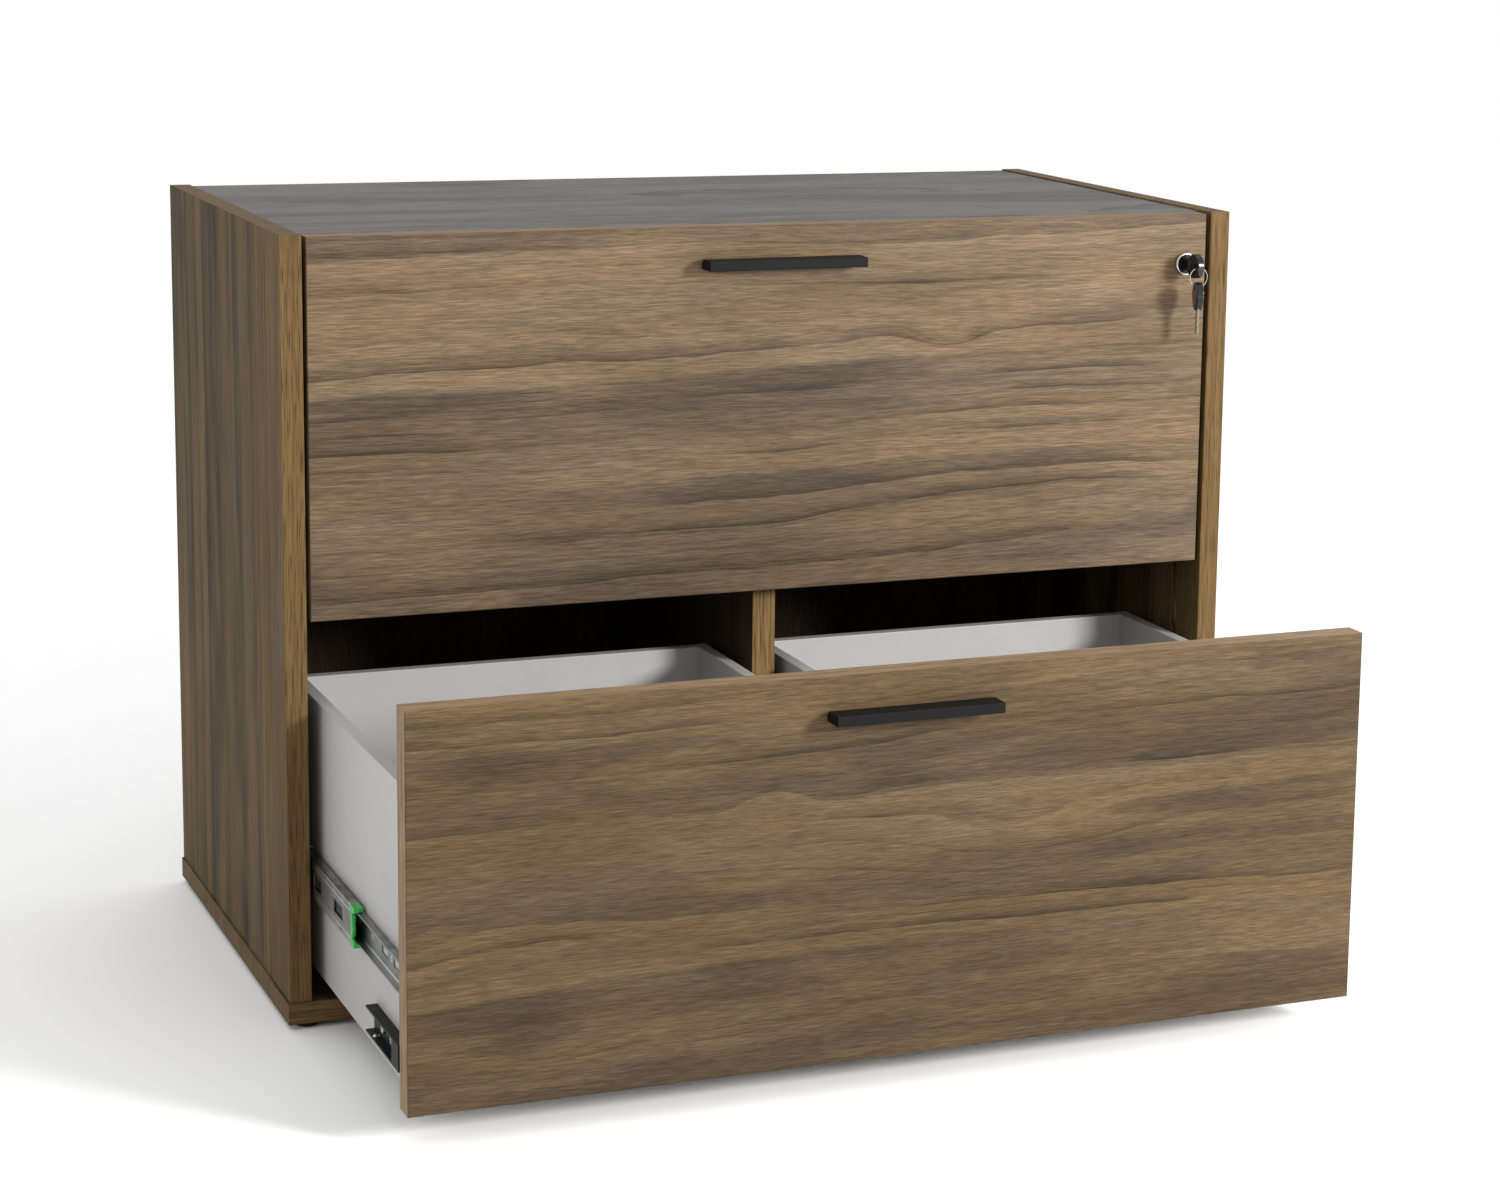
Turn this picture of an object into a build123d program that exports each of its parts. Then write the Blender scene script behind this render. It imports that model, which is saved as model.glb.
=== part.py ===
"""Two-drawer lateral file cabinet: the upper drawer closed, the lower one part open, with central locking.

Millimetres, X to the right, Y to the back, Z up. The origin is under the middle of the resting cabinet's box.
Each drawer is one wide front that carries a box on each side of the centre divider, on four ball runners.
"""
from math import cos, radians, sin
import os

from build123d import *

os.makedirs("parts", exist_ok=True)

# Cabinet
cabinet_width = 920.0
cabinet_depth = 480.0
boards_height = 705.0
side_thickness = 20.0
base_thickness = 20.0
base_overhang = 2.0
top_thickness = 20.0
top_panel_drop = 1.5
divider_thickness = 22.0
divider_setback = 36.0
back_thickness = 10.0
back_inset = 2.0
board_round = 1.0
cut_overrun = 1.0

# Glides under the base board
glide_height = 5.0
glide_radius = 10.5
glide_side_inset = 20.0
glide_front_inset = 15.0
glide_chamfer = 1.0
glide_screw_radius = 1.8
glide_screw_length = 16.0
glide_screw_head_radius = 3.5
glide_screw_head_length = 1.5
glide_recess_radius = 4.5
glide_recess_depth = 2.0

# Dowels, long screws and cam fittings
dowel_radius = 4.0
dowel_length = 30.0
dowel_fit = 0.05
back_dowel_radius = 2.5
dowel_inset = 60.0
long_screw_radius = 2.5
long_screw_length = 50.0
long_head_radius = 5.0
long_head_length = 3.0
long_screw_inset = 30.0
back_screw_count = 3
cam_radius = 7.5
cam_length = 12.5
cam_setback = 24.0
cam_bolt_radius = 3.0
cam_bolt_depth_in_side = 11.0
cam_slot_share = 0.55
cam_slot_width = 1.5
cam_slot_depth = 2.0
cam_inset = 110.0

# Drawer fronts
front_thickness = 24.0
front_side_gap = 4.0
front_recess = 2.0
front_bottom_gap = 3.0
front_middle_gap = 4.0
front_top_gap = 2.0
front_close_gap = 1.0
lower_opening = 318.0

# Drawer boxes
box_depth = 420.0
box_height = 252.0
box_raise = 13.0
box_wall = 12.0
box_bottom_thickness = 8.0
box_bottom_raise = 10.0
box_groove_depth = 6.0

# Runners, measured across from the face that they are screwed to
runner_gap = 12.7
runner_raise = 96.0
runner_length = 400.0
runner_setback = 4.0
middle_length = 380.0
sheet = 1.2
bend_radius = 1.0
outer_half_height = 22.5
outer_tip = 9.0
outer_lip = 1.8
middle_half_height = 18.1
middle_web = 3.0
middle_tip = 10.2
inner_half_height = 13.7
inner_tip = 5.2
window_height = 12.0
window_starts = (40.0, 118.0, 240.0)
window_lengths = (32.0, 28.0, 32.0)
slot_height = 7.0
slot_length = 20.0
slot_starts = (22.0, 60.0, 150.0)
outer_slot_starts = (62.0, 130.0, 200.0)
runner_screw_places = (50.0, 112.0, 368.0)
screw_radius = 2.0
screw_head_radius = 3.2
screw_length = 10.0
screw_fit = 0.05

# Ball cages and balls
ball_radius = 1.5
ball_hole_radius = 1.65
balls_per_row = 4
cage_sheet = 0.5
outer_cage_web = 1.8
outer_cage_tip = 8.6
outer_ball_place = 6.5
outer_cage_start = 114.0
outer_cage_length = 150.0
inner_cage_web = 4.45
inner_cage_tip = 9.2
inner_ball_place = 7.5
inner_cage_start = 106.0
inner_cage_length = 190.0
cage_end_margin = 8.0
middle_ratio_share = 0.56

# End retainers on the middle members
retainer_length = 3.0
retainer_seat = 11.0
retainer_web = (1.9, 4.4)
retainer_arm_tip = 10.2
retainer_arm_height = 4.0
retainer_tongue = (3.7, 4.9)
retainer_tongue_half_height = 9.0
retainer_tongue_length = 5.0

# Front brackets
bracket_length = 107.0
bracket_raise = 17.5
bracket_height = 23.0
bracket_width = 10.0
bracket_web = 2.8
bracket_flange = 1.8
bracket_block_length = 22.0
bracket_slot_length = 14.0
bracket_slot_height = 6.0
bracket_slot_places = (45.0, 75.0)
bracket_screw_head_radius = 2.9
bracket_screw_head_length = 1.8
slot_screw_head_radius = 3.9
bracket_adjuster_place = 86.0
bracket_adjuster_head_length = 2.0
front_screw_length = 16.0

# Handles
handle_width = 152.0
handle_stand_off = 24.0
handle_lip_height = 9.0
handle_lip_thickness = 3.0
handle_plate_thickness = 3.0
handle_plate_gap = 3.0
handle_drop = 29.0
handle_hole_spacing = 128.0
handle_leg_width = 11.0
handle_edge_round = 0.8
handle_screw_radius = 2.0
handle_screw_depth_in_leg = 12.0
handle_screw_head_radius = 4.2
handle_screw_head_length = 2.6

# Lock
lock_side_inset = 22.5
lock_drop = 47.0
lock_rim_radius = 10.7
lock_rim_length = 5.0
lock_rim_round = 1.2
lock_barrel_radius = 9.0
lock_barrel_past_front = 5.0
lock_flange_thickness = 2.5
lock_flange_half_width = 13.0
lock_flange_half_height = 18.0
lock_screw_offset = 13.5
lock_screw_radius = 1.6
lock_screw_length = 14.0
lock_screw_head_radius = 3.0
lock_screw_head_length = 1.6
cylinder_radius = 6.9
cylinder_fit = 0.1
keyway_width = 2.4
keyway_height = 7.6
cam_disc_radius = 10.5
cam_disc_thickness = 3.0
cam_pin_radius = 2.0
cam_pin_orbit = 8.0
cam_pin_length = 16.0
cam_pin_start_angle = 45.0

# Lock bar in the right side panel, measured back from the panel's front edge
groove_front = 46.0
groove_width = 11.2
groove_depth = 6.0
groove_top_margin = 15.0
bar_width = 9.6
bar_thickness = 2.4
bar_bottom_margin = 30.0
bar_top_past_lock = 22.0
fork_thickness = 2.5
fork_half_height = 8.0
fork_slot_clearance = 0.6
fork_reach_past_lock = 1.0
hook_reach = 8.0
hook_height = 9.0
hook_fit = 0.05
catch_raise = 170.0
catch_height = 8.0
catch_tooth_thickness = 3.0
catch_tooth_reach = 9.0
catch_plate_thickness = 1.5
catch_plate_length = 26.0
catch_gap_below_hook = 2.5
catch_gap_behind_hook = 1.5
guide_height = 16.0
guide_back = 1.3
guide_fit = 0.2
guide_place_shares = (0.08, 0.55, 0.9)

# Keys
key_blade_width = 7.2
key_blade_thickness = 2.0
key_blade_length = 20.0
key_pivot_out = 10.5
key_tang_radius = 4.6
key_bow_length = 19.5
key_bow_half_width = 11.5
key_bow_thickness = 7.0
key_hinge_radius = 7.5
key_slot_fit = 0.2
key_bit_depth = 1.6
key_bit_length = 3.0
key_bit_count = 3
key_rivet_radius = 1.2
key_rivet_fit = 0.1
key_ring_hole_radius = 2.6
key_ring_hole_inset = 5.2
key_bow_round = 1.2
ring_radius = 8.9
ring_wire_radius = 0.6
ring_hang_gap = 0.2
spare_hang_gap = 0.4
spare_key_turn = 15.0

# Derived places
lower_handle_lip = front_recess - lower_opening - handle_stand_off
carcass_front = -(lower_handle_lip + cabinet_depth) / 2
carcass_back = carcass_front + cabinet_depth
base_bottom = glide_height
base_top = base_bottom + base_thickness
sides_top = base_bottom + boards_height
top_panel_top = sides_top - top_panel_drop
top_panel_bottom = top_panel_top - top_thickness
side_inner = cabinet_width / 2 - side_thickness
fronts_room = boards_height - base_thickness - front_bottom_gap - front_middle_gap - front_top_gap
front_height = fronts_room / 2
front_half_width = side_inner - front_side_gap
front_face = carcass_front + front_recess
front_back = front_face + front_thickness
back_panel_front = carcass_back - back_inset - back_thickness
lower_front_bottom = base_top + front_bottom_gap
upper_front_bottom = lower_front_bottom + front_height + front_middle_gap
runner_front = front_back + runner_setback
middle_flange = middle_half_height - sheet / 2
outer_row = (middle_half_height + outer_half_height - sheet) / 2
inner_row = (inner_half_height + middle_half_height - sheet) / 2
runner_faces = ((-side_inner, 1), (-divider_thickness / 2, -1), (divider_thickness / 2, 1), (side_inner, -1))
box_sides = ((-side_inner + runner_gap, -divider_thickness / 2 - runner_gap),
             (divider_thickness / 2 + runner_gap, side_inner - runner_gap))
levels = (("lower", lower_front_bottom, lower_opening), ("upper", upper_front_bottom, 0))
lock_x = front_half_width - lock_side_inset
lock_z = upper_front_bottom + front_height - lock_drop
lock_face = front_face - lock_rim_length
cylinder_back = front_back + lock_barrel_past_front
cam_back = cylinder_back + cam_disc_thickness
groove_start = carcass_front + groove_front
bar_front = groove_start + (groove_width - bar_width) / 2
bar_back = bar_front + bar_width
bar_outer = side_inner + groove_depth - guide_back
bar_inner = bar_outer - bar_thickness
cam_pin_height = cam_pin_orbit * sin(radians(cam_pin_start_angle))
bar_travel = 2 * cam_pin_height
fork_z = lock_z + cam_pin_height


def save(piece, name):
    piece.label = name
    export_step(piece, f"parts/{name}.step")


def slab(x, y, z, mode=Mode.ADD):
    """A rectangular block between two values of each coordinate."""
    with Locations(((x[0] + x[1]) / 2, (y[0] + y[1]) / 2, (z[0] + z[1]) / 2)):
        Box(abs(x[1] - x[0]), abs(y[1] - y[0]), abs(z[1] - z[0]), mode=mode)


def rod(start, direction, radius, length, mode=Mode.ADD):
    """A round bar or hole from a point along a direction."""
    with Locations(Plane(origin=start, z_dir=direction).location):
        Cylinder(radius, length, align=(Align.CENTER, Align.CENTER, Align.MIN), mode=mode)


def sunk_head(start, direction, grow, mode=Mode.ADD):
    """The cone of a countersunk head as deep as the runner's sheet, wide end first."""
    with Locations(Plane(origin=start, z_dir=direction).location):
        Cone(screw_head_radius + grow, screw_radius + grow, sheet,
             align=(Align.CENTER, Align.CENTER, Align.MIN), mode=mode)


def runner_centre(front_bottom):
    return front_bottom + box_raise + runner_raise


def runner_holes(places, face_x, into, y, z, mode=Mode.SUBTRACT):
    """Screw holes bored from a board's face at a runner's screw places."""
    for place in places:
        rod((face_x, y + place, z), (into, 0, 0), screw_radius + screw_fit, screw_length, mode)


def channel(face_x, side, y, z, points, length):
    """A bent sheet channel that runs along Y from the outline of its middle line."""
    with BuildSketch(Plane(origin=(face_x, y, z), x_dir=(side, 0, 0), z_dir=(0, 1, 0))) as profile:
        with BuildLine():
            FilletPolyline(*points, radius=bend_radius)
        trace(line_width=sheet)
    extrude(profile.sketch, amount=length)


def along(face_x, side, span):
    return (face_x + side * span[0], face_x + side * span[1])


# Side panels
for name, side in (("side_panel_left", -1), ("side_panel_right", 1)):
    with BuildPart() as panel:
        slab((side * side_inner, side * cabinet_width / 2), (carcass_front, carcass_back),
             (base_top, sides_top))
        front_edges = panel.edges().filter_by(Axis.Z).group_by(Axis.Y)[0]
        top_edges = panel.edges().filter_by(Axis.Y).group_by(Axis.Z)[-1]
        fillet(front_edges + top_edges, radius=board_round)
        for level, front_bottom, opening in levels:
            runner_holes(runner_screw_places, side * side_inner, side, runner_front,
                         runner_centre(front_bottom))
        for y in (carcass_front + dowel_inset, carcass_back - dowel_inset):
            rod((side * (cabinet_width - side_thickness) / 2, y, base_top), (0, 0, 1),
                dowel_radius + dowel_fit, dowel_length / 2, Mode.SUBTRACT)
            rod((side * side_inner, y + long_screw_inset, top_panel_top - top_thickness / 2), (side, 0, 0),
                dowel_radius + dowel_fit, dowel_length / 2, Mode.SUBTRACT)
        for y in (carcass_front + dowel_inset + long_screw_inset,
                  carcass_back - dowel_inset - long_screw_inset):
            rod((side * (cabinet_width - side_thickness) / 2, y, base_top), (0, 0, 1),
                long_screw_radius + screw_fit, long_screw_length - base_thickness, Mode.SUBTRACT)
        for y in (carcass_front + cam_inset, carcass_back - cam_inset):
            rod((side * side_inner, y, top_panel_top - top_thickness / 2), (side, 0, 0),
                cam_bolt_radius + screw_fit, cam_bolt_depth_in_side, Mode.SUBTRACT)
        for z in (base_top + dowel_inset, top_panel_bottom - dowel_inset):
            rod((side * side_inner, back_panel_front + back_thickness / 2, z), (side, 0, 0),
                back_dowel_radius + dowel_fit, dowel_length / 2, Mode.SUBTRACT)
        if side > 0:
            slab((side_inner - cut_overrun, side_inner + groove_depth),
                 (groove_start, groove_start + groove_width),
                 (base_top - cut_overrun, sides_top - groove_top_margin), Mode.SUBTRACT)
    save(panel.part, name)

# Base board
base_half_width = cabinet_width / 2 + base_overhang
side_middle = (cabinet_width - side_thickness) / 2
long_screw_xs = (-side_middle, 0, side_middle)
with BuildPart() as base_board:
    slab((-base_half_width, base_half_width), (carcass_front - base_overhang, carcass_back),
         (base_bottom, base_top))
    base_front = base_board.edges().filter_by(Axis.X).group_by(Axis.Y)[0]
    base_sides = base_board.edges().filter_by(Axis.Y)
    fillet(base_front + base_sides, radius=board_round)
    for x in long_screw_xs:
        for y in (carcass_front + dowel_inset + long_screw_inset,
                  carcass_back - dowel_inset - long_screw_inset):
            rod((x, y, base_bottom), (0, 0, 1), long_screw_radius + screw_fit, base_thickness, Mode.SUBTRACT)
            rod((x, y, base_bottom), (0, 0, 1), long_head_radius + screw_fit, long_head_length, Mode.SUBTRACT)
        for y in (carcass_front + dowel_inset, carcass_back - dowel_inset):
            rod((x, y, base_top), (0, 0, -1), dowel_radius + dowel_fit, dowel_length / 2, Mode.SUBTRACT)
    glide_xs = (-base_half_width + glide_side_inset, base_half_width - glide_side_inset)
    glide_ys = (carcass_front - base_overhang + glide_front_inset, carcass_back - glide_front_inset)
    for x in glide_xs:
        for y in glide_ys:
            rod((x, y, base_bottom), (0, 0, 1), glide_screw_radius + screw_fit,
                glide_screw_length - glide_height + glide_recess_depth, Mode.SUBTRACT)
save(base_board.part, "base_board")

# Glides under the base board
with BuildPart() as glides:
    for x in glide_xs:
        for y in glide_ys:
            rod((x, y, 0), (0, 0, 1), glide_radius, glide_height)
    chamfer(glides.edges().filter_by(GeomType.CIRCLE).group_by(Axis.Z)[0], length=glide_chamfer)
    for x in glide_xs:
        for y in glide_ys:
            rod((x, y, 0), (0, 0, 1), glide_recess_radius, glide_recess_depth, Mode.SUBTRACT)
            rod((x, y, 0), (0, 0, 1), glide_screw_radius + screw_fit, glide_height, Mode.SUBTRACT)
save(glides.part, "glides")

# Top panel
with BuildPart() as top_panel:
    slab((-side_inner, side_inner), (front_back + front_close_gap, carcass_back),
         (top_panel_bottom, top_panel_top))
    for side in (-1, 1):
        for y in (carcass_front + dowel_inset + long_screw_inset,
                  carcass_back - dowel_inset + long_screw_inset):
            rod((side * side_inner, y, top_panel_top - top_thickness / 2), (-side, 0, 0),
                dowel_radius + dowel_fit, dowel_length / 2, Mode.SUBTRACT)
        for y in (carcass_front + cam_inset, carcass_back - cam_inset):
            rod((side * (side_inner - cam_setback), y, top_panel_bottom), (0, 0, 1), cam_radius + dowel_fit,
                cam_length, Mode.SUBTRACT)
            rod((side * side_inner, y, top_panel_top - top_thickness / 2), (-side, 0, 0),
                cam_bolt_radius + screw_fit, cam_setback - cam_radius, Mode.SUBTRACT)
    for y in (carcass_front + dowel_inset, carcass_back - dowel_inset):
        rod((0, y, top_panel_bottom), (0, 0, 1), dowel_radius + dowel_fit, dowel_length / 2, Mode.SUBTRACT)
save(top_panel.part, "top_panel")

# Centre divider
divider_front = carcass_front + divider_setback
with BuildPart() as centre_divider:
    slab((-divider_thickness / 2, divider_thickness / 2), (divider_front, back_panel_front),
         (base_top, top_panel_bottom))
    for level, front_bottom, opening in levels:
        for side in (-1, 1):
            runner_holes(runner_screw_places, side * divider_thickness / 2, -side, runner_front,
                         runner_centre(front_bottom))
    for y in (carcass_front + dowel_inset, carcass_back - dowel_inset):
        rod((0, y, base_top), (0, 0, 1), dowel_radius + dowel_fit, dowel_length / 2, Mode.SUBTRACT)
        rod((0, y, top_panel_bottom), (0, 0, -1), dowel_radius + dowel_fit, dowel_length / 2, Mode.SUBTRACT)
    for y in (carcass_front + dowel_inset + long_screw_inset, carcass_back - dowel_inset - long_screw_inset):
        rod((0, y, base_top), (0, 0, 1), long_screw_radius + screw_fit, long_screw_length - base_thickness,
            Mode.SUBTRACT)
    back_screw_span = top_panel_bottom - base_top
    back_screw_zs = [base_top + back_screw_span * (i + 1) / (back_screw_count + 1)
                     for i in range(back_screw_count)]
    for z in back_screw_zs:
        rod((0, back_panel_front, z), (0, -1, 0), long_screw_radius + screw_fit,
            long_screw_length - back_thickness, Mode.SUBTRACT)
save(centre_divider.part, "centre_divider")

# Back panel
back_rear = carcass_back - back_inset
with BuildPart() as back_panel:
    slab((-side_inner, side_inner), (back_panel_front, back_rear), (base_top, top_panel_bottom))
    for z in back_screw_zs:
        rod((0, back_rear, z), (0, -1, 0), long_screw_radius + screw_fit, back_thickness, Mode.SUBTRACT)
        rod((0, back_rear, z), (0, -1, 0), long_head_radius + screw_fit, long_head_length, Mode.SUBTRACT)
    for side in (-1, 1):
        for z in (base_top + dowel_inset, top_panel_bottom - dowel_inset):
            rod((side * side_inner, back_panel_front + back_thickness / 2, z), (-side, 0, 0),
                back_dowel_radius + dowel_fit, dowel_length / 2, Mode.SUBTRACT)
save(back_panel.part, "back_panel")

# Wooden dowels in all the boards' joints
with BuildPart() as panel_dowels:
    for y in (carcass_front + dowel_inset, carcass_back - dowel_inset):
        for x in long_screw_xs:
            rod((x, y, base_top - dowel_length / 2), (0, 0, 1), dowel_radius, dowel_length)
        rod((0, y, top_panel_bottom - dowel_length / 2), (0, 0, 1), dowel_radius, dowel_length)
        for side in (-1, 1):
            rod((side * (side_inner - dowel_length / 2), y + long_screw_inset,
                 top_panel_top - top_thickness / 2),
                (side, 0, 0), dowel_radius, dowel_length)
    for side in (-1, 1):
        for z in (base_top + dowel_inset, top_panel_bottom - dowel_inset):
            rod((side * (side_inner - dowel_length / 2), back_panel_front + back_thickness / 2, z),
                (side, 0, 0), back_dowel_radius, dowel_length)
save(panel_dowels.part, "panel_dowels")

# Screws of the cabinet: long ones through the base and the back, those of the glides and those of the runners
with BuildPart() as carcass_screws:
    for x in glide_xs:
        for y in glide_ys:
            rod((x, y, glide_recess_depth), (0, 0, 1), glide_screw_radius, glide_screw_length - glide_height)
            rod((x, y, glide_recess_depth - glide_screw_head_length), (0, 0, 1), glide_screw_head_radius,
                glide_screw_head_length)
    for level, front_bottom, opening in levels:
        for face_x, side in runner_faces:
            for place in runner_screw_places:
                screw_y = runner_front + place
                screw_z = runner_centre(front_bottom)
                sunk_head((face_x + side * sheet, screw_y, screw_z), (-side, 0, 0), 0)
                rod((face_x, screw_y, screw_z), (-side, 0, 0), screw_radius, screw_length)
    for x in long_screw_xs:
        for y in (carcass_front + dowel_inset + long_screw_inset,
                  carcass_back - dowel_inset - long_screw_inset):
            rod((x, y, base_bottom), (0, 0, 1), long_screw_radius, long_screw_length)
            rod((x, y, base_bottom), (0, 0, 1), long_head_radius, long_head_length)
    for z in back_screw_zs:
        rod((0, back_rear, z), (0, -1, 0), long_screw_radius, long_screw_length)
        rod((0, back_rear, z), (0, -1, 0), long_head_radius, long_head_length)
save(carcass_screws.part, "carcass_screws")

# Cam bolts in the side panels and cam locks in the top panel
with BuildPart() as cam_bolts:
    for side in (-1, 1):
        for y in (carcass_front + cam_inset, carcass_back - cam_inset):
            rod((side * (side_inner - cam_setback + cam_radius), y, top_panel_top - top_thickness / 2),
                (side, 0, 0), cam_bolt_radius, cam_setback - cam_radius + cam_bolt_depth_in_side)
save(cam_bolts.part, "cam_bolts")

with BuildPart() as cam_locks:
    for side in (-1, 1):
        for y in (carcass_front + cam_inset, carcass_back - cam_inset):
            cam_x = side * (side_inner - cam_setback)
            rod((cam_x, y, top_panel_bottom), (0, 0, 1), cam_radius, cam_length)
            slab((cam_x - cam_radius * cam_slot_share, cam_x + cam_radius * cam_slot_share),
                 (y - cam_slot_width / 2, y + cam_slot_width / 2),
                 (top_panel_bottom - cut_overrun, top_panel_bottom + cam_slot_depth), Mode.SUBTRACT)
save(cam_locks.part, "cam_locks")


def cabinet_members():
    """The runners' outer channels, screwed to the side panels and the divider."""
    flange = outer_half_height - sheet / 2
    points = ((outer_tip, flange - outer_lip), (outer_tip, flange), (sheet / 2, flange),
              (sheet / 2, -flange), (outer_tip, -flange), (outer_tip, -flange + outer_lip))
    with BuildPart() as members:
        for level, front_bottom, opening in levels:
            z = runner_centre(front_bottom)
            for face_x, side in runner_faces:
                channel(face_x, side, runner_front, z, points, runner_length)
                for place in runner_screw_places:
                    sunk_head((face_x + side * sheet, runner_front + place, z), (-side, 0, 0), screw_fit,
                              Mode.SUBTRACT)
                for start in outer_slot_starts:
                    slab(along(face_x, side, (-sheet, sheet * 2)),
                         (runner_front + start, runner_front + start + slot_length),
                         (z - slot_height / 2, z + slot_height / 2), Mode.SUBTRACT)
    save(members.part, "cabinet_members")


def drawer_members(level, front_bottom, opening):
    """The runners' inner channels, screwed to the boxes' walls."""
    z = runner_centre(front_bottom)
    y = runner_front - opening
    flange = inner_half_height - sheet / 2
    web = runner_gap - sheet / 2
    points = ((inner_tip, flange), (web, flange), (web, -flange), (inner_tip, -flange))
    with BuildPart() as members:
        for face_x, side in runner_faces:
            channel(face_x, side, y, z, points, runner_length)
            for place in runner_screw_places:
                sunk_head((face_x + side * (runner_gap - sheet), y + place, z), (side, 0, 0), screw_fit,
                          Mode.SUBTRACT)
            for start in slot_starts:
                slab(along(face_x, side, (runner_gap - sheet * 2, runner_gap + sheet)),
                     (y + start, y + start + slot_length), (z - slot_height / 2, z + slot_height / 2),
                     Mode.SUBTRACT)
    save(members.part, f"{level}_drawer_members")


def middle_members(level, front_bottom, opening):
    """The runners' middle channels with their windows, and the plastic retainers on their front ends."""
    z = runner_centre(front_bottom)
    y = runner_front - opening * middle_ratio_share
    points = ((middle_tip, middle_flange), (middle_web, middle_flange),
              (middle_web, -middle_flange), (middle_tip, -middle_flange))
    with BuildPart() as members:
        for face_x, side in runner_faces:
            channel(face_x, side, y + retainer_seat, z, points, middle_length - retainer_seat)
            for start, length in zip(window_starts, window_lengths):
                slab(along(face_x, side, (middle_web - sheet, middle_web + sheet)),
                     (y + start, y + start + length),
                     (z - window_height / 2, z + window_height / 2), Mode.SUBTRACT)
    save(members.part, f"{level}_middle_members")
    with BuildPart() as retainers:
        for face_x, side in runner_faces:
            seat = (y - retainer_length, y + retainer_seat)
            for up in (-1, 1):
                slab(along(face_x, side, (retainer_web[0], retainer_arm_tip)), seat,
                     (z + up * middle_half_height, z + up * (middle_half_height - retainer_arm_height)))
            slab(along(face_x, side, retainer_web), seat, (z - middle_half_height, z + middle_half_height))
            slab(along(face_x, side, retainer_tongue), (seat[0], seat[1] + retainer_tongue_length),
                 (z - retainer_tongue_half_height, z + retainer_tongue_half_height))
    save(retainers.part, f"{level}_end_retainers")


def ball_rows(level, kind, front_bottom, y, length, web, tip, ball_place, row):
    """One set of U-shaped cages and the balls that they hold, in a row above and a row below."""
    z = runner_centre(front_bottom)
    pitch = (length - cage_end_margin * 2) / (balls_per_row - 1)
    ball_ys = [y + cage_end_margin + pitch * i for i in range(balls_per_row)]
    with BuildPart() as cages:
        for face_x, side in runner_faces:
            slab(along(face_x, side, (web - cage_sheet / 2, web + cage_sheet / 2)), (y, y + length),
                 (z - row - cage_sheet / 2, z + row + cage_sheet / 2))
            for up in (-1, 1):
                slab(along(face_x, side, (web, tip)), (y, y + length),
                     (z + up * (row - cage_sheet / 2), z + up * (row + cage_sheet / 2)))
                for ball_y in ball_ys:
                    rod((face_x + side * ball_place, ball_y, z + up * row - cage_sheet), (0, 0, 1),
                        ball_hole_radius, cage_sheet * 2, Mode.SUBTRACT)
    save(cages.part, f"{level}_{kind}_cages")
    with BuildPart() as balls:
        for face_x, side in runner_faces:
            for up in (-1, 1):
                for ball_y in ball_ys:
                    with Locations((face_x + side * ball_place, ball_y, z + up * row)):
                        Sphere(ball_radius)
    save(balls.part, f"{level}_{kind}_balls")


def bracket_span(front_bottom):
    low = front_bottom + box_raise + bracket_raise
    return (low, low + bracket_height)


def front_piece(level, front_bottom, opening):
    """The wide front, bored for its handle and, on the upper drawer, for the lock."""
    y = front_face - opening
    top = front_bottom + front_height
    handle_z = handle_screw_z(front_bottom)
    with BuildPart() as front:
        slab((-front_half_width, front_half_width), (y, y + front_thickness), (front_bottom, top))
        face_edges = front.faces().sort_by(Axis.Y)[0].edges()
        fillet(face_edges, radius=board_round)
        for x in (-handle_hole_spacing / 2, handle_hole_spacing / 2):
            rod((x, y, handle_z), (0, 1, 0), handle_screw_radius + screw_fit, front_thickness, Mode.SUBTRACT)
        for face_x, side in runner_faces:
            for z in bracket_screw_zs(front_bottom):
                rod((bracket_screw_x(face_x, side), y + front_thickness, z), (0, -1, 0),
                    screw_radius + screw_fit, front_screw_length, Mode.SUBTRACT)
        if level == "upper":
            rod((lock_x, y, lock_z), (0, 1, 0), lock_barrel_radius + cylinder_fit, front_thickness,
                Mode.SUBTRACT)
            for up in (-1, 1):
                rod((lock_x, y + front_thickness, lock_z + up * lock_screw_offset), (0, -1, 0),
                    lock_screw_radius + screw_fit, lock_screw_length, Mode.SUBTRACT)
    save(front.part, f"{level}_front")


def bracket_screw_x(face_x, side):
    """The middle of a bracket's end block, across from the runner's face."""
    return face_x + side * (runner_gap - (bracket_web + bracket_width) / 2)


def bracket_screw_zs(front_bottom):
    low, high = bracket_span(front_bottom)
    return (low + bracket_height / 4, high - bracket_height / 4)


def handle_screw_z(front_bottom):
    """The middle of the handle's end blocks, between its plate and the lip's lower edge."""
    return front_bottom + front_height - handle_drop - (handle_plate_thickness + handle_lip_height) / 2


def handle_piece(level, front_bottom, opening):
    """The handle: a flat plate with a turned-down lip and a solid block at each end."""
    y = front_face - opening
    top = front_bottom + front_height - handle_drop
    lip = y - handle_stand_off
    leg_z = handle_screw_z(front_bottom)
    with BuildPart() as handle:
        slab((-handle_width / 2, handle_width / 2), (lip, y - handle_plate_gap),
             (top - handle_plate_thickness, top))
        slab((-handle_width / 2, handle_width / 2), (lip, lip + handle_lip_thickness),
             (top - handle_lip_height, top))
        fillet(handle.edges().filter_by(Axis.X).group_by(Axis.Y)[0], radius=handle_edge_round)
        for side in (-1, 1):
            slab((side * (handle_hole_spacing - handle_leg_width) / 2, side * handle_width / 2),
                 (lip + handle_lip_thickness, y), (top - handle_lip_height, top - handle_plate_thickness))
            rod((side * handle_hole_spacing / 2, y, leg_z), (0, -1, 0), handle_screw_radius + screw_fit,
                handle_screw_depth_in_leg, Mode.SUBTRACT)
    save(handle.part, f"{level}_handle")


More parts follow.
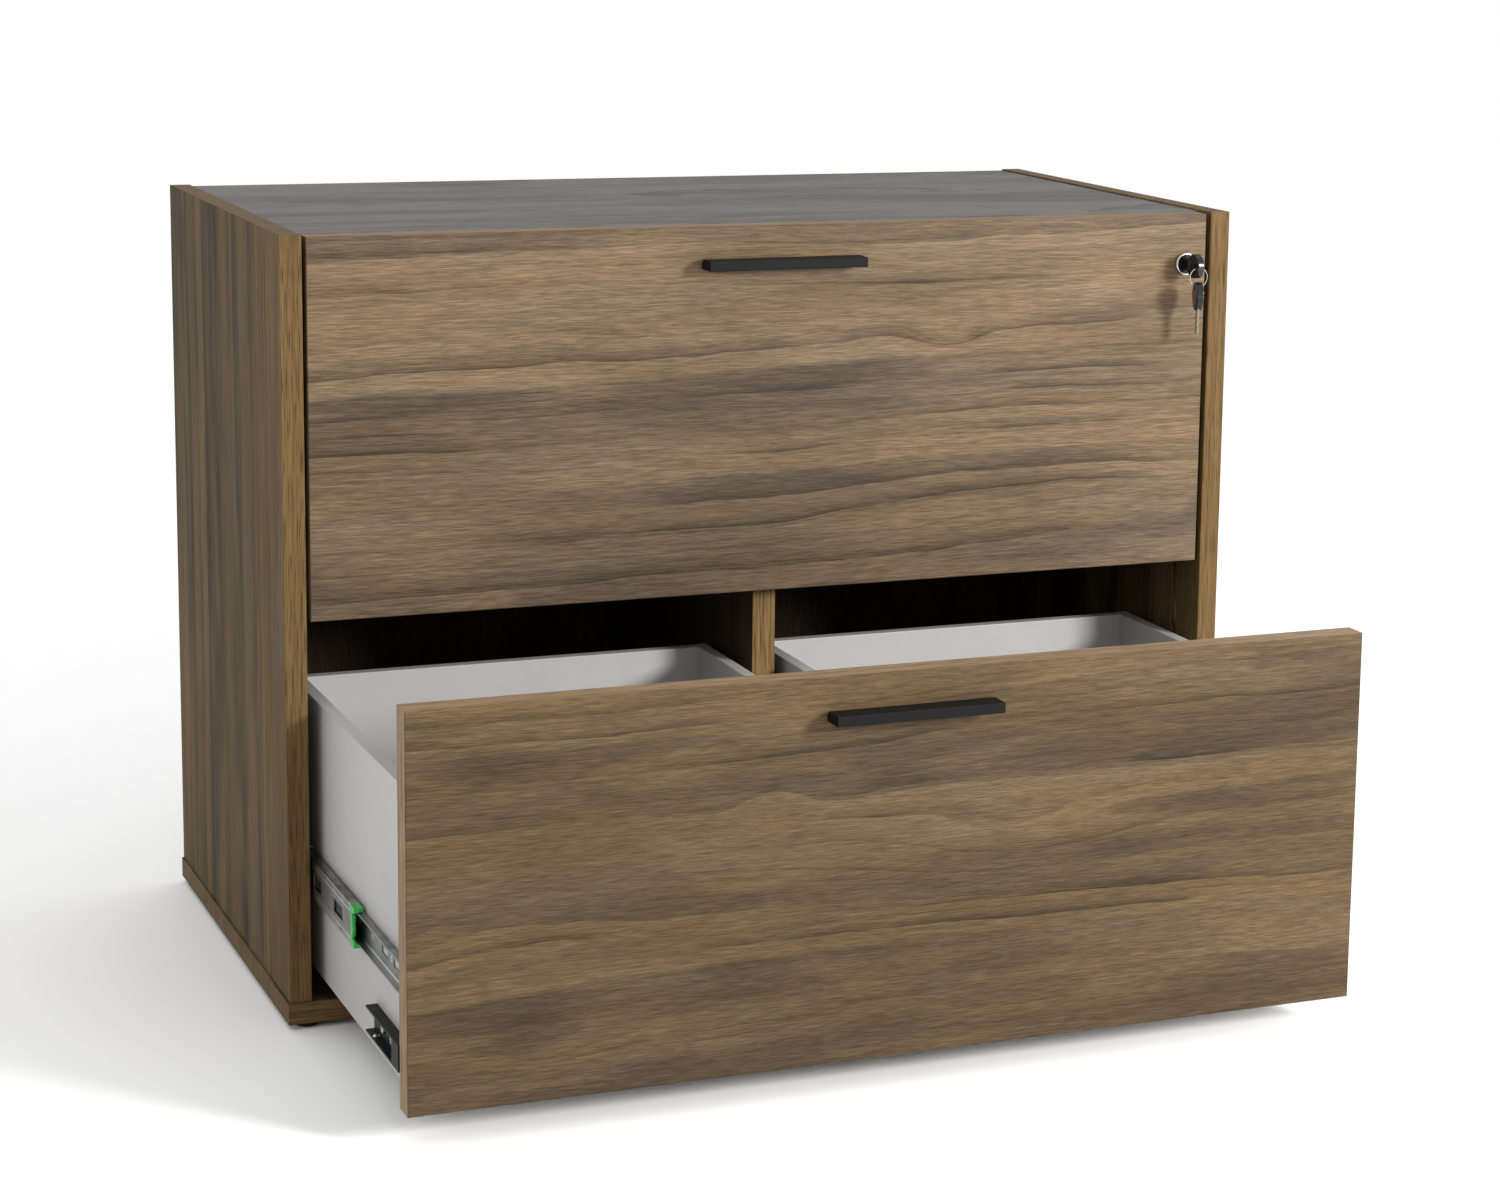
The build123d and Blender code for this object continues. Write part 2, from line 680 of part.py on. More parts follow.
def box_walls(level, hand, outer_left, outer_right, front_bottom, opening):
    """One box's two side walls, grooved for the bottom and bored for the screws."""
    y0 = front_back - opening
    y1 = y0 + box_depth
    z0 = front_bottom + box_raise
    z1 = z0 + box_height
    floor_z = (z0 + box_bottom_raise, z0 + box_bottom_raise + box_bottom_thickness)
    runner_y = runner_front - opening
    low, high = bracket_span(front_bottom)
    for name, outer, inward in (("left_wall", outer_left, 1), ("right_wall", outer_right, -1)):
        with BuildPart() as wall:
            slab((outer, outer + inward * box_wall), (y0, y1), (z0, z1))
            fillet(wall.edges().filter_by(Axis.Y).group_by(Axis.Z)[-1], radius=board_round)
            slab((outer + inward * (box_wall - box_groove_depth), outer + inward * (box_wall + cut_overrun)),
                 (y0 - cut_overrun, y1 - box_wall + box_groove_depth), floor_z, Mode.SUBTRACT)
            runner_holes(runner_screw_places, outer, inward, runner_y, z0 + runner_raise)
            for place in bracket_slot_places:
                rod((outer, y0 + place, (low + high) / 2), (inward, 0, 0), screw_radius + screw_fit,
                    screw_length, Mode.SUBTRACT)
            if outer > side_inner / 2 and inward < 0:
                for screw_y in catch_screw_ys(opening):
                    rod((outer, screw_y, z0 + catch_raise - catch_height / 2), (inward, 0, 0),
                        screw_radius + screw_fit, screw_length, Mode.SUBTRACT)
        save(wall.part, f"{level}_{hand}_box_{name}")


def box_backs_and_bottoms(level, front_bottom, opening):
    """The backs and the bottoms of a drawer's two boxes; a bottom lies in grooves of its walls and back."""
    y0 = front_back - opening
    y1 = y0 + box_depth
    z0 = front_bottom + box_raise
    floor_z = (z0 + box_bottom_raise, z0 + box_bottom_raise + box_bottom_thickness)
    with BuildPart() as backs:
        for left, right in box_sides:
            slab((left + box_wall, right - box_wall), (y1 - box_wall, y1), (z0, z0 + box_height))
        fillet(backs.edges().filter_by(Axis.X).group_by(Axis.Z)[-1], radius=board_round)
        for left, right in box_sides:
            slab((left, right), (y1 - box_wall - cut_overrun, y1 - box_wall + box_groove_depth), floor_z,
                 Mode.SUBTRACT)
    save(backs.part, f"{level}_box_backs")
    with BuildPart() as bottoms:
        for left, right in box_sides:
            slab((left + box_wall - box_groove_depth, right - box_wall + box_groove_depth),
                 (y0, y1 - box_wall + box_groove_depth), floor_z)
    save(bottoms.part, f"{level}_box_bottoms")


def brackets(level, front_bottom, opening):
    """Moulded brackets that tie the boxes' walls to the front, open towards the cabinet."""
    y0 = front_back - opening
    z = bracket_span(front_bottom)
    with BuildPart() as pieces:
        for face_x, side in runner_faces:
            outer = runner_gap - bracket_width
            slab(along(face_x, side, (runner_gap - bracket_web, runner_gap)), (y0, y0 + bracket_length), z)
            slab(along(face_x, side, (outer, runner_gap)), (y0, y0 + bracket_length),
                 (z[1] - bracket_flange, z[1]))
            slab(along(face_x, side, (outer, runner_gap)), (y0, y0 + bracket_length),
                 (z[0], z[0] + bracket_flange))
            slab(along(face_x, side, (outer, runner_gap)), (y0, y0 + bracket_block_length), z)
            for place in bracket_slot_places:
                slab(along(face_x, side, (runner_gap - bracket_web - cut_overrun, runner_gap + cut_overrun)),
                     (y0 + place - bracket_slot_length / 2, y0 + place + bracket_slot_length / 2),
                     ((z[0] + z[1] - bracket_slot_height) / 2, (z[0] + z[1] + bracket_slot_height) / 2),
                     Mode.SUBTRACT)
            adjuster_x = face_x + side * (outer + runner_gap - bracket_web) / 2
            rod((adjuster_x, y0 + bracket_adjuster_place, z[0] - cut_overrun), (0, 0, 1),
                screw_radius + screw_fit, bracket_flange + cut_overrun * 2, Mode.SUBTRACT)
            for screw_z in bracket_screw_zs(front_bottom):
                rod((bracket_screw_x(face_x, side), y0, screw_z), (0, 1, 0), screw_radius + screw_fit,
                    bracket_block_length, Mode.SUBTRACT)
    save(pieces.part, f"{level}_front_brackets")


def drawer_screws(level, front_bottom, opening):
    """All the screws of one drawer: its handle's, catch's, lock's, runner members' and brackets'."""
    y0 = front_back - opening
    runner_y = runner_front - opening
    z = runner_centre(front_bottom)
    low, high = bracket_span(front_bottom)
    handle_z = handle_screw_z(front_bottom)
    with BuildPart() as screws:
        for x in (-handle_hole_spacing / 2, handle_hole_spacing / 2):
            rod((x, y0 - front_thickness - handle_screw_depth_in_leg, handle_z), (0, 1, 0),
                handle_screw_radius, handle_screw_depth_in_leg + front_thickness)
            rod((x, y0, handle_z), (0, 1, 0), handle_screw_head_radius, handle_screw_head_length)
        for screw_y in catch_screw_ys(opening):
            catch_x = side_inner - runner_gap
            catch_z = front_bottom + box_raise + catch_raise - catch_height / 2
            rod((catch_x - screw_length, screw_y, catch_z), (1, 0, 0), screw_radius,
                screw_length + catch_plate_thickness)
            rod((catch_x + catch_plate_thickness, screw_y, catch_z), (1, 0, 0), bracket_screw_head_radius,
                bracket_screw_head_length)
        if level == "upper":
            for up in (-1, 1):
                screw_z = lock_z + up * lock_screw_offset
                rod((lock_x, y0 - lock_screw_length, screw_z), (0, 1, 0), lock_screw_radius,
                    lock_screw_length + lock_flange_thickness)
                rod((lock_x, y0 + lock_flange_thickness, screw_z), (0, 1, 0), lock_screw_head_radius,
                    lock_screw_head_length)
        for face_x, side in runner_faces:
            wall_x = face_x + side * runner_gap
            for place in runner_screw_places:
                sunk_head((wall_x - side * sheet, runner_y + place, z), (side, 0, 0), 0)
                rod((wall_x, runner_y + place, z), (side, 0, 0), screw_radius, screw_length)
            for place in bracket_slot_places:
                head_x = wall_x - side * (bracket_web + bracket_screw_head_length)
                rod((head_x, y0 + place, (low + high) / 2), (side, 0, 0), screw_radius,
                    bracket_web + bracket_screw_head_length + screw_length)
                rod((head_x, y0 + place, (low + high) / 2), (side, 0, 0), slot_screw_head_radius,
                    bracket_screw_head_length)
            adjuster_x = face_x + side * (runner_gap - (bracket_width + bracket_web) / 2)
            rod((adjuster_x, y0 + bracket_adjuster_place, low), (0, 0, 1), screw_radius,
                bracket_flange + bracket_adjuster_head_length)
            rod((adjuster_x, y0 + bracket_adjuster_place, low + bracket_flange), (0, 0, 1),
                bracket_screw_head_radius, bracket_adjuster_head_length)
            for screw_z in bracket_screw_zs(front_bottom):
                rod((bracket_screw_x(face_x, side), y0 - front_screw_length, screw_z), (0, 1, 0),
                    screw_radius, front_screw_length + bracket_block_length)
                rod((bracket_screw_x(face_x, side), y0 + bracket_block_length, screw_z), (0, 1, 0),
                    bracket_screw_head_radius, bracket_screw_head_length)
    save(screws.part, f"{level}_drawer_screws")


def catch_screw_ys(opening):
    """The places of a catch's two screws, behind its tooth."""
    tooth_back = bar_back + catch_gap_behind_hook + catch_tooth_thickness - opening
    return (tooth_back + catch_plate_length / 4, tooth_back + catch_plate_length * 3 / 4)


def catch(level, front_bottom, opening):
    """The angle on the right box that the lock bar's hook holds when it is down."""
    tooth_front = bar_back + catch_gap_behind_hook - opening
    top = front_bottom + box_raise + catch_raise
    wall_x = side_inner - runner_gap
    with BuildPart() as piece:
        slab((wall_x, wall_x + catch_tooth_reach), (tooth_front, tooth_front + catch_tooth_thickness),
             (top - catch_height, top))
        slab((wall_x, wall_x + catch_plate_thickness),
             (tooth_front, tooth_front + catch_tooth_thickness + catch_plate_length),
             (top - catch_height, top))
        for screw_y in catch_screw_ys(opening):
            rod((wall_x, screw_y, top - catch_height / 2), (1, 0, 0), screw_radius + screw_fit,
                catch_plate_thickness, Mode.SUBTRACT)
    save(piece.part, f"{level}_catch")


cabinet_members()
for level, front_bottom, opening in levels:
    catch(level, front_bottom, opening)
    middle_members(level, front_bottom, opening)
    drawer_members(level, front_bottom, opening)
    outer_share = middle_ratio_share / 2
    inner_share = (1 + middle_ratio_share) / 2
    ball_rows(level, "outer", front_bottom, runner_front + outer_cage_start - opening * outer_share,
              outer_cage_length, outer_cage_web, outer_cage_tip, outer_ball_place, outer_row)
    ball_rows(level, "inner", front_bottom, runner_front + inner_cage_start - opening * inner_share,
              inner_cage_length, inner_cage_web, inner_cage_tip, inner_ball_place, inner_row)
    front_piece(level, front_bottom, opening)
    handle_piece(level, front_bottom, opening)
    for hand, (left, right) in zip(("left", "right"), box_sides):
        box_walls(level, hand, left, right, front_bottom, opening)
    box_backs_and_bottoms(level, front_bottom, opening)
    brackets(level, front_bottom, opening)
    drawer_screws(level, front_bottom, opening)


# Lock housing in the upper front
with BuildPart() as lock_housing:
    rod((lock_x, lock_face, lock_z), (0, 1, 0), lock_rim_radius, lock_rim_length)
    fillet(lock_housing.edges().filter_by(GeomType.CIRCLE).group_by(Axis.Y)[0], radius=lock_rim_round)
    rod((lock_x, front_face, lock_z), (0, 1, 0), lock_barrel_radius, cylinder_back - front_face)
    slab((lock_x - lock_flange_half_width, lock_x + lock_flange_half_width),
         (front_back, front_back + lock_flange_thickness),
         (lock_z - lock_flange_half_height, lock_z + lock_flange_half_height))
    rod((lock_x, lock_face, lock_z), (0, 1, 0), cylinder_radius + cylinder_fit, cylinder_back - lock_face,
        Mode.SUBTRACT)
    for up in (-1, 1):
        rod((lock_x, front_back, lock_z + up * lock_screw_offset), (0, 1, 0), lock_screw_radius + screw_fit,
            lock_flange_thickness, Mode.SUBTRACT)
save(lock_housing.part, "lock_housing")

# Lock cylinder with its keyway, and the cam disc with the crank pin behind it
with BuildPart() as lock_cylinder:
    rod((lock_x, lock_face, lock_z), (0, 1, 0), cylinder_radius, cylinder_back - lock_face)
    slab((lock_x - keyway_width / 2, lock_x + keyway_width / 2),
         (lock_face - cut_overrun, lock_face + key_blade_length + cut_overrun),
         (lock_z - keyway_height / 2, lock_z + keyway_height / 2), Mode.SUBTRACT)
save(lock_cylinder.part, "lock_cylinder")

pin_x = lock_x + cam_pin_orbit * cos(radians(cam_pin_start_angle))
with BuildPart() as lock_cam:
    rod((lock_x, cylinder_back, lock_z), (0, 1, 0), cam_disc_radius, cam_disc_thickness)
    rod((pin_x, cam_back, fork_z), (0, 1, 0), cam_pin_radius, cam_pin_length)
save(lock_cam.part, "lock_cam")

# Lock bar in the right side panel's groove, with its welded fork plate and a hook block for each drawer
bar_bottom = base_top + bar_bottom_margin
bar_top = lock_z + bar_top_past_lock
hook_bottoms = [front_bottom + box_raise + catch_raise + catch_gap_below_hook
                for _, front_bottom, _ in levels]
slot_margin = cam_pin_radius + fork_slot_clearance
with BuildPart() as lock_bar:
    slab((bar_inner, bar_outer), (bar_front, bar_back), (bar_bottom, bar_top))
    for hook_bottom in hook_bottoms:
        slab((side_inner - hook_reach, bar_inner - hook_fit), (bar_front, bar_back),
             (hook_bottom, hook_bottom + hook_height))
    slab((lock_x - fork_reach_past_lock, bar_inner - hook_fit), (bar_front, bar_front + fork_thickness),
         (fork_z - fork_half_height, fork_z + fork_half_height))
    slab((pin_x - slot_margin, lock_x + cam_pin_orbit + slot_margin), (bar_front - cut_overrun, bar_front +
         fork_thickness), (fork_z - slot_margin, fork_z + slot_margin), Mode.SUBTRACT)
save(lock_bar.part, "lock_bar")

# Plastic sleeves that guide the bar in its groove
with BuildPart() as lock_bar_guides:
    for share in guide_place_shares:
        z = bar_bottom + (bar_top - bar_bottom) * share
        slab((side_inner + guide_fit, side_inner + groove_depth),
             (groove_start + guide_fit / 2, groove_start + groove_width - guide_fit / 2),
             (z, z + guide_height))
    for share in guide_place_shares:
        z = bar_bottom + (bar_top - bar_bottom) * share
        slab((bar_inner - guide_fit, bar_outer + guide_fit), (bar_front - guide_fit, bar_back + guide_fit),
             (z - cut_overrun, z + guide_height + cut_overrun), Mode.SUBTRACT)
save(lock_bar_guides.part, "lock_bar_guides")


def key(plane, prefix):
    """A flat key whose bow folds on a rivet. The plane's X runs from the rivet to the bow's end.
    The bow's slot is open at the side that the blade swings to, which is the plane's negative Y."""
    with BuildPart() as bow:
        with BuildSketch(plane) as outline:
            Circle(key_hinge_radius)
            with Locations((key_bow_length - key_bow_half_width, 0)):
                Circle(key_bow_half_width)
            make_hull()
        extrude(amount=key_bow_thickness / 2, both=True)
        rims = bow.faces().filter_by(Plane(plane.origin, z_dir=plane.z_dir)).edges()
        fillet(rims, radius=key_bow_round)
        with BuildSketch(plane) as holes:
            with Locations((key_bow_length - key_ring_hole_inset, 0)):
                Circle(key_ring_hole_radius)
            Circle(key_rivet_radius + screw_fit)
        extrude(amount=key_bow_thickness, both=True, mode=Mode.SUBTRACT)
        slot_side = key_tang_radius + key_slot_fit
        slot_length = key_hinge_radius + slot_side
        with BuildSketch(plane) as slot:
            with Locations((slot_length / 2 - key_hinge_radius, (slot_side - key_bow_half_width) / 2)):
                Rectangle(slot_length, key_bow_half_width + slot_side)
        extrude(amount=key_blade_thickness / 2 + key_slot_fit, both=True, mode=Mode.SUBTRACT)
    save(bow.part, f"{prefix}_bow")
    with BuildPart() as blade:
        with BuildSketch(plane) as outline:
            Circle(key_tang_radius)
            with Locations((-(key_pivot_out + key_blade_length) / 2, 0)):
                Rectangle(key_pivot_out + key_blade_length, key_blade_width)
            for i in range(key_bit_count):
                place = -key_pivot_out - key_blade_length + key_bit_length * (i * 2 + 1)
                with Locations((place, key_blade_width / 2)):
                    Rectangle(key_bit_length, key_bit_depth * (1 + i % 2), mode=Mode.SUBTRACT)
            Circle(key_rivet_radius + key_rivet_fit, mode=Mode.SUBTRACT)
        extrude(amount=key_blade_thickness / 2, both=True)
    save(blade.part, f"{prefix}_blade")
    with BuildPart() as rivet:
        with BuildSketch(plane) as outline:
            Circle(key_rivet_radius)
        extrude(amount=key_bow_thickness / 2, both=True)
    save(rivet.part, f"{prefix}_rivet")


# The key in the lock, the ring through its bow and the spare key that hangs on the ring
key_pivot_y = lock_face - key_pivot_out
key(Plane(origin=(lock_x, key_pivot_y, lock_z), x_dir=(0, -1, 0), z_dir=(-1, 0, 0)), "key")

hole_y = key_pivot_y - key_bow_length + key_ring_hole_inset
ring_sag = ring_radius - (ring_radius ** 2 - (key_bow_thickness / 2) ** 2) ** (1 / 2)
ring_drop = key_ring_hole_radius - ring_wire_radius - ring_sag - ring_hang_gap
ring_z = lock_z - ring_drop - ring_radius
with BuildPart() as key_ring:
    with Locations(Plane(origin=(lock_x, hole_y, ring_z), z_dir=(0, 1, 0)).location):
        Torus(ring_radius, ring_wire_radius)
save(key_ring.part, "key_ring")

spare_hole_z = ring_z - ring_radius - ring_drop + spare_hang_gap
spare_pivot_z = spare_hole_z + key_ring_hole_inset - key_bow_length
turn = radians(spare_key_turn)
key(Plane(origin=(lock_x, hole_y, spare_pivot_z), x_dir=(0, 0, 1), z_dir=(cos(turn), -sin(turn), 0)),
    "spare_key")

print("origin to the carcass's front", carcass_front)
print("lock", lock_x, lock_face, lock_z, "key pivot", key_pivot_y, "ring hole", hole_y, "spare hole",
      spare_hole_z)
print("bar travel", bar_travel, "overall", base_half_width * 2, cabinet_depth - lower_handle_lip, sides_top)
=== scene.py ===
"""The looks of the lateral file cabinet: laminates, runners, handles, lock and keys, with a pale floor
and soft light. All lengths are in metres."""
import math

import bmesh
import bpy
from mathutils import Matrix, Vector


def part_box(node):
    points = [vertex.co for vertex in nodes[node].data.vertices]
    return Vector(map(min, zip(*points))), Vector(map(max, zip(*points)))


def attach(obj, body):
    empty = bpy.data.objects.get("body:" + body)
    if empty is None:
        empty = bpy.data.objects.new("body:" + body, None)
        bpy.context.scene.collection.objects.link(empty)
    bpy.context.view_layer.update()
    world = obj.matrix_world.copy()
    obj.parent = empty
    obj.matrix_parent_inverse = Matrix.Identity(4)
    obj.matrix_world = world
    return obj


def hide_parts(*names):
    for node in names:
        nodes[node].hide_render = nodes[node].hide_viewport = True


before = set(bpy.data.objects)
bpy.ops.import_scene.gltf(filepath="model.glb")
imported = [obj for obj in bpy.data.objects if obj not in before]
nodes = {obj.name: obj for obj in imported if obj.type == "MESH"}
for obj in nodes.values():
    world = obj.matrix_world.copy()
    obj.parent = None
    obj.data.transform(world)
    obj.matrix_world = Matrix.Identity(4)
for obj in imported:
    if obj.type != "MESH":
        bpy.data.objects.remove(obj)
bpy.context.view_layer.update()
levels = ("lower", "upper")
materials = {}


class Graph:
    """The nodes of one material, in the frame's own metres."""

    def __init__(self, name):
        self.material = bpy.data.materials.new(name)
        self.material.use_nodes = True
        self.tree = self.material.node_tree
        self.shader = self.tree.nodes["Principled BSDF"]
        self.place = self.tree.nodes.new("ShaderNodeTexCoord").outputs["Object"]
        materials[name] = self.material

    def node(self, kind, inputs=(), **settings):
        made = self.tree.nodes.new(kind)
        for name, value in settings.items():
            setattr(made, name, value)
        for key, value in dict(inputs).items():
            self.feed(made.inputs[key], value)
        return made

    def feed(self, socket, value):
        if isinstance(value, bpy.types.NodeSocket):
            self.tree.links.new(value, socket)
        else:
            socket.default_value = value

    def math(self, operation, first, second=0.0, third=0.0):
        made = self.node("ShaderNodeMath", {0: first, 1: second, 2: third}, operation=operation)
        return made.outputs[0]

    def size(self, value):
        """The value without its sign."""
        return self.math("ABSOLUTE", value)

    def fade(self, value, low, high, to_low=0.0, to_high=1.0):
        """A smooth step from low to high."""
        inputs = {"Value": value, "From Min": low, "From Max": high, "To Min": to_low, "To Max": to_high}
        return self.node("ShaderNodeMapRange", inputs, interpolation_type="SMOOTHSTEP").outputs[0]

    def vector(self, x, y, z):
        return self.node("ShaderNodeCombineXYZ", {"X": x, "Y": y, "Z": z}).outputs[0]

    def split(self, vector):
        return tuple(self.node("ShaderNodeSeparateXYZ", {"Vector": vector}).outputs)

    def normal(self):
        return self.split(self.node("ShaderNodeNewGeometry").outputs["Normal"])

    def noise(self, vector, scale, detail=2.0, roughness=0.5, offset=(0, 0, 0)):
        """Noise with its own scale along each axis, in features per metre."""
        moved = self.node("ShaderNodeMapping", {"Vector": vector, "Scale": scale, "Location": offset})
        inputs = {"Vector": moved.outputs[0], "Scale": 1.0, "Detail": detail, "Roughness": roughness}
        return self.node("ShaderNodeTexNoise", inputs).outputs["Fac"]

    def wander(self, vector, scale, amount, **settings):
        """Noise around zero."""
        centred = self.math("SUBTRACT", self.noise(vector, scale, **settings), 0.5)
        return self.math("MULTIPLY", centred, amount)

    def rings(self, height, per_metre, drift, seed):
        """Growth rings across a board: the share of the way through a ring and a random number for it."""
        count = self.math("ADD", self.math("MULTIPLY", height, per_metre), drift)
        number = self.math("ADD", self.math("FLOOR", count), seed)
        chance = self.node("ShaderNodeTexWhiteNoise", {"W": number}, noise_dimensions="1D")
        return self.math("FRACT", count), chance.outputs["Value"]

    def mix(self, factor, first, second):
        """The first colour where the factor is 0, and the second where it is 1."""
        first_socket, second_socket, mixed_socket = 6, 7, 2
        made = self.node("ShaderNodeMix", data_type="RGBA")
        self.feed(made.inputs["Factor"], factor)
        for socket, colour in ((first_socket, first), (second_socket, second)):
            opaque = colour if isinstance(colour, bpy.types.NodeSocket) else (*colour, 1.0)
            self.feed(made.inputs[socket], opaque)
        return made.outputs[mixed_socket]

    def product(self, *values):
        total = values[0]
        for value in values[1:]:
            total = self.math("MULTIPLY", total, value)
        return total

    def brighten(self, colour, value, saturation=1.0):
        inputs = {"Color": colour, "Value": value, "Saturation": saturation}
        return self.node("ShaderNodeHueSaturation", inputs).outputs[0]

    def bump(self, height, distance, strength):
        inputs = {"Height": height, "Distance": distance, "Strength": strength}
        self.tree.links.new(self.node("ShaderNodeBump", inputs).outputs[0], self.shader.inputs["Normal"])

    def finish(self, colour, roughness, metallic=0.0, specular=0.5):
        self.feed(self.shader.inputs["Base Color"], colour)
        self.feed(self.shader.inputs["Roughness"], roughness)
        self.feed(self.shader.inputs["Metallic"], metallic)
        self.shader.inputs["Specular IOR Level"].default_value = specular


def tinted(colour, share, lift=0.0):
    """A colour multiplied by a share and lifted, but not past white."""
    return tuple(min(1.0, channel * share + lift) for channel in colour)


def bent_grain(g, flat, u, v, seed, slope, sweep, ripple, swells):
    """The height across the grain, after its slope, its wavering and the swells that push it aside."""
    sweep_scale, ripple_scale, shiver_scale = (1.1, 2.6, 2.6), (6, 15, 15), (26, 70, 70)
    shiver = 0.003
    bent = g.math("MULTIPLY_ADD", u, -slope, v)
    for scale, amount, offset in ((sweep_scale, sweep, (seed, seed, 0)), (ripple_scale, ripple, (0, seed, 0)),
                                  (shiver_scale, shiver, (seed, 0, 2))):
        bent = g.math("ADD", bent, g.wander(flat, scale, amount, offset=offset))
    for place_u, place_v, reach_u, reach_v, rise in swells:
        off_u = g.math("MULTIPLY", g.math("SUBTRACT", u, place_u), 1 / reach_u)
        off_v = g.math("MULTIPLY", g.math("SUBTRACT", v, place_v), 1 / reach_v)
        distance = g.math("ADD", g.product(off_u, off_u), g.product(off_v, off_v))
        push = g.math("EXPONENT", g.math("MULTIPLY", distance, -1.0))
        bent = g.math("MULTIPLY_ADD", push, -rise, bent)
    return bent


def tone_bands(g, flat, u, bent, drift, cloud, seed, bands, belts):
    """How dark the wood is: bands and belts with one sharp side, broken up as if by smoke."""
    lean = 0.30
    band_step = (0.34, 0.80, 0.0, 0.8)
    belt_top_step, belt_bottom_step, belt_ends = (1.15, 0.85), (-2.2, -0.2), (0.15, 1.0)
    cloud_step, smoke_step = (0.22, 0.58, 0.45, 1.0), (0.30, 0.62, 0.35, 1.0)
    across, chance = g.rings(bent, bands, drift, seed)
    deep = g.fade(g.math("MULTIPLY_ADD", across, -lean, chance), *band_step)
    for height, half, faint, full in belts:
        off = g.math("MULTIPLY", g.math("SUBTRACT", bent, height), 1 / half)
        belt = g.product(g.fade(off, *belt_top_step), g.fade(off, *belt_bottom_step),
                         g.fade(u, faint, full, *belt_ends))
        deep = g.math("MAXIMUM", deep, belt)
    smoke = g.noise(flat, scale=(5, 34, 34), detail=2, roughness=0.6, offset=(4, seed, 4))
    return g.product(deep, g.fade(cloud, *cloud_step), g.fade(smoke, *smoke_step))


def dark_lines(g, flat, bent, drift, deep, seed, bands, lines):
    """Bold and fine lines, sharp on one side. The fine ones crowd where the wood is dark."""
    bold_per_band, bold_drift, bold_sharpness = 4.2, 2.0, 3.5
    fine_per_band, fine_drift, fine_sharpness = 10.0, 5.0, 2.5
    bold_seed, fine_seed = seed + 31, seed + 57
    bold_chance_step, bold_step, fine_step = (0.30, 0.80), (0.40, 0.58), (0.36, 0.62, 0.20, 1.0)
    crowd_rise, crowd_least = 0.50, 0.55

    across, chance = g.rings(bent, bands * bold_per_band, g.math("MULTIPLY", drift, bold_drift), bold_seed)
    shown = g.fade(g.noise(flat, scale=(4, 14, 14), detail=2, offset=(seed, 5, 0)), *bold_step)
    tail = g.math("POWER", g.math("SUBTRACT", 1.0, across), bold_sharpness)
    bold = g.product(tail, g.fade(chance, *bold_chance_step), shown, lines)

    across, chance = g.rings(bent, bands * fine_per_band, g.math("MULTIPLY", drift, fine_drift), fine_seed)
    shown = g.fade(g.noise(flat, scale=(5, 22, 22), detail=2, offset=(2, seed, 7)), *fine_step)
    tail = g.math("POWER", g.math("SUBTRACT", 1.0, across), fine_sharpness)
    crowd = g.math("MULTIPLY_ADD", deep, crowd_rise, crowd_least)
    return bold, g.product(tail, chance, shown, crowd, lines)


def edge_band(g, place, along, edges, tones, seed):
    """Where a face looks along one of the axes in edges, and the colour of the band that covers it there.
    The band's streaks run upright where the grain does, and elsewhere along each edge."""
    facing_step = (0.80, 0.95)
    streak_step, dash_step = (0.36, 0.66, 0.0, 0.75), (0.46, 0.66, 1.14, 0.50)
    x, y, z = place
    normal = g.normal()
    facing = 0.0
    for axis in edges:
        here = g.fade(g.size(normal["xyz".index(axis)]), *facing_step)
        facing = g.math("MAXIMUM", facing, here)
    strip = g.vector(z, x, y)
    if along != "z":
        at_the_ends = g.fade(g.size(normal[0]), *facing_step)
        strip = g.mix(at_the_ends, g.vector(x, z, y), strip)
    pale, dark = tones
    streaks = g.noise(strip, scale=(3, 200, 200), detail=3, roughness=0.6, offset=(seed, 1, 0))
    dashes = g.noise(strip, scale=(30, 1300, 1300), detail=2, offset=(0, seed, 0))
    covering = g.mix(g.fade(streaks, *streak_step), pale, dark)
    return facing, g.brighten(covering, g.fade(dashes, *dash_step))


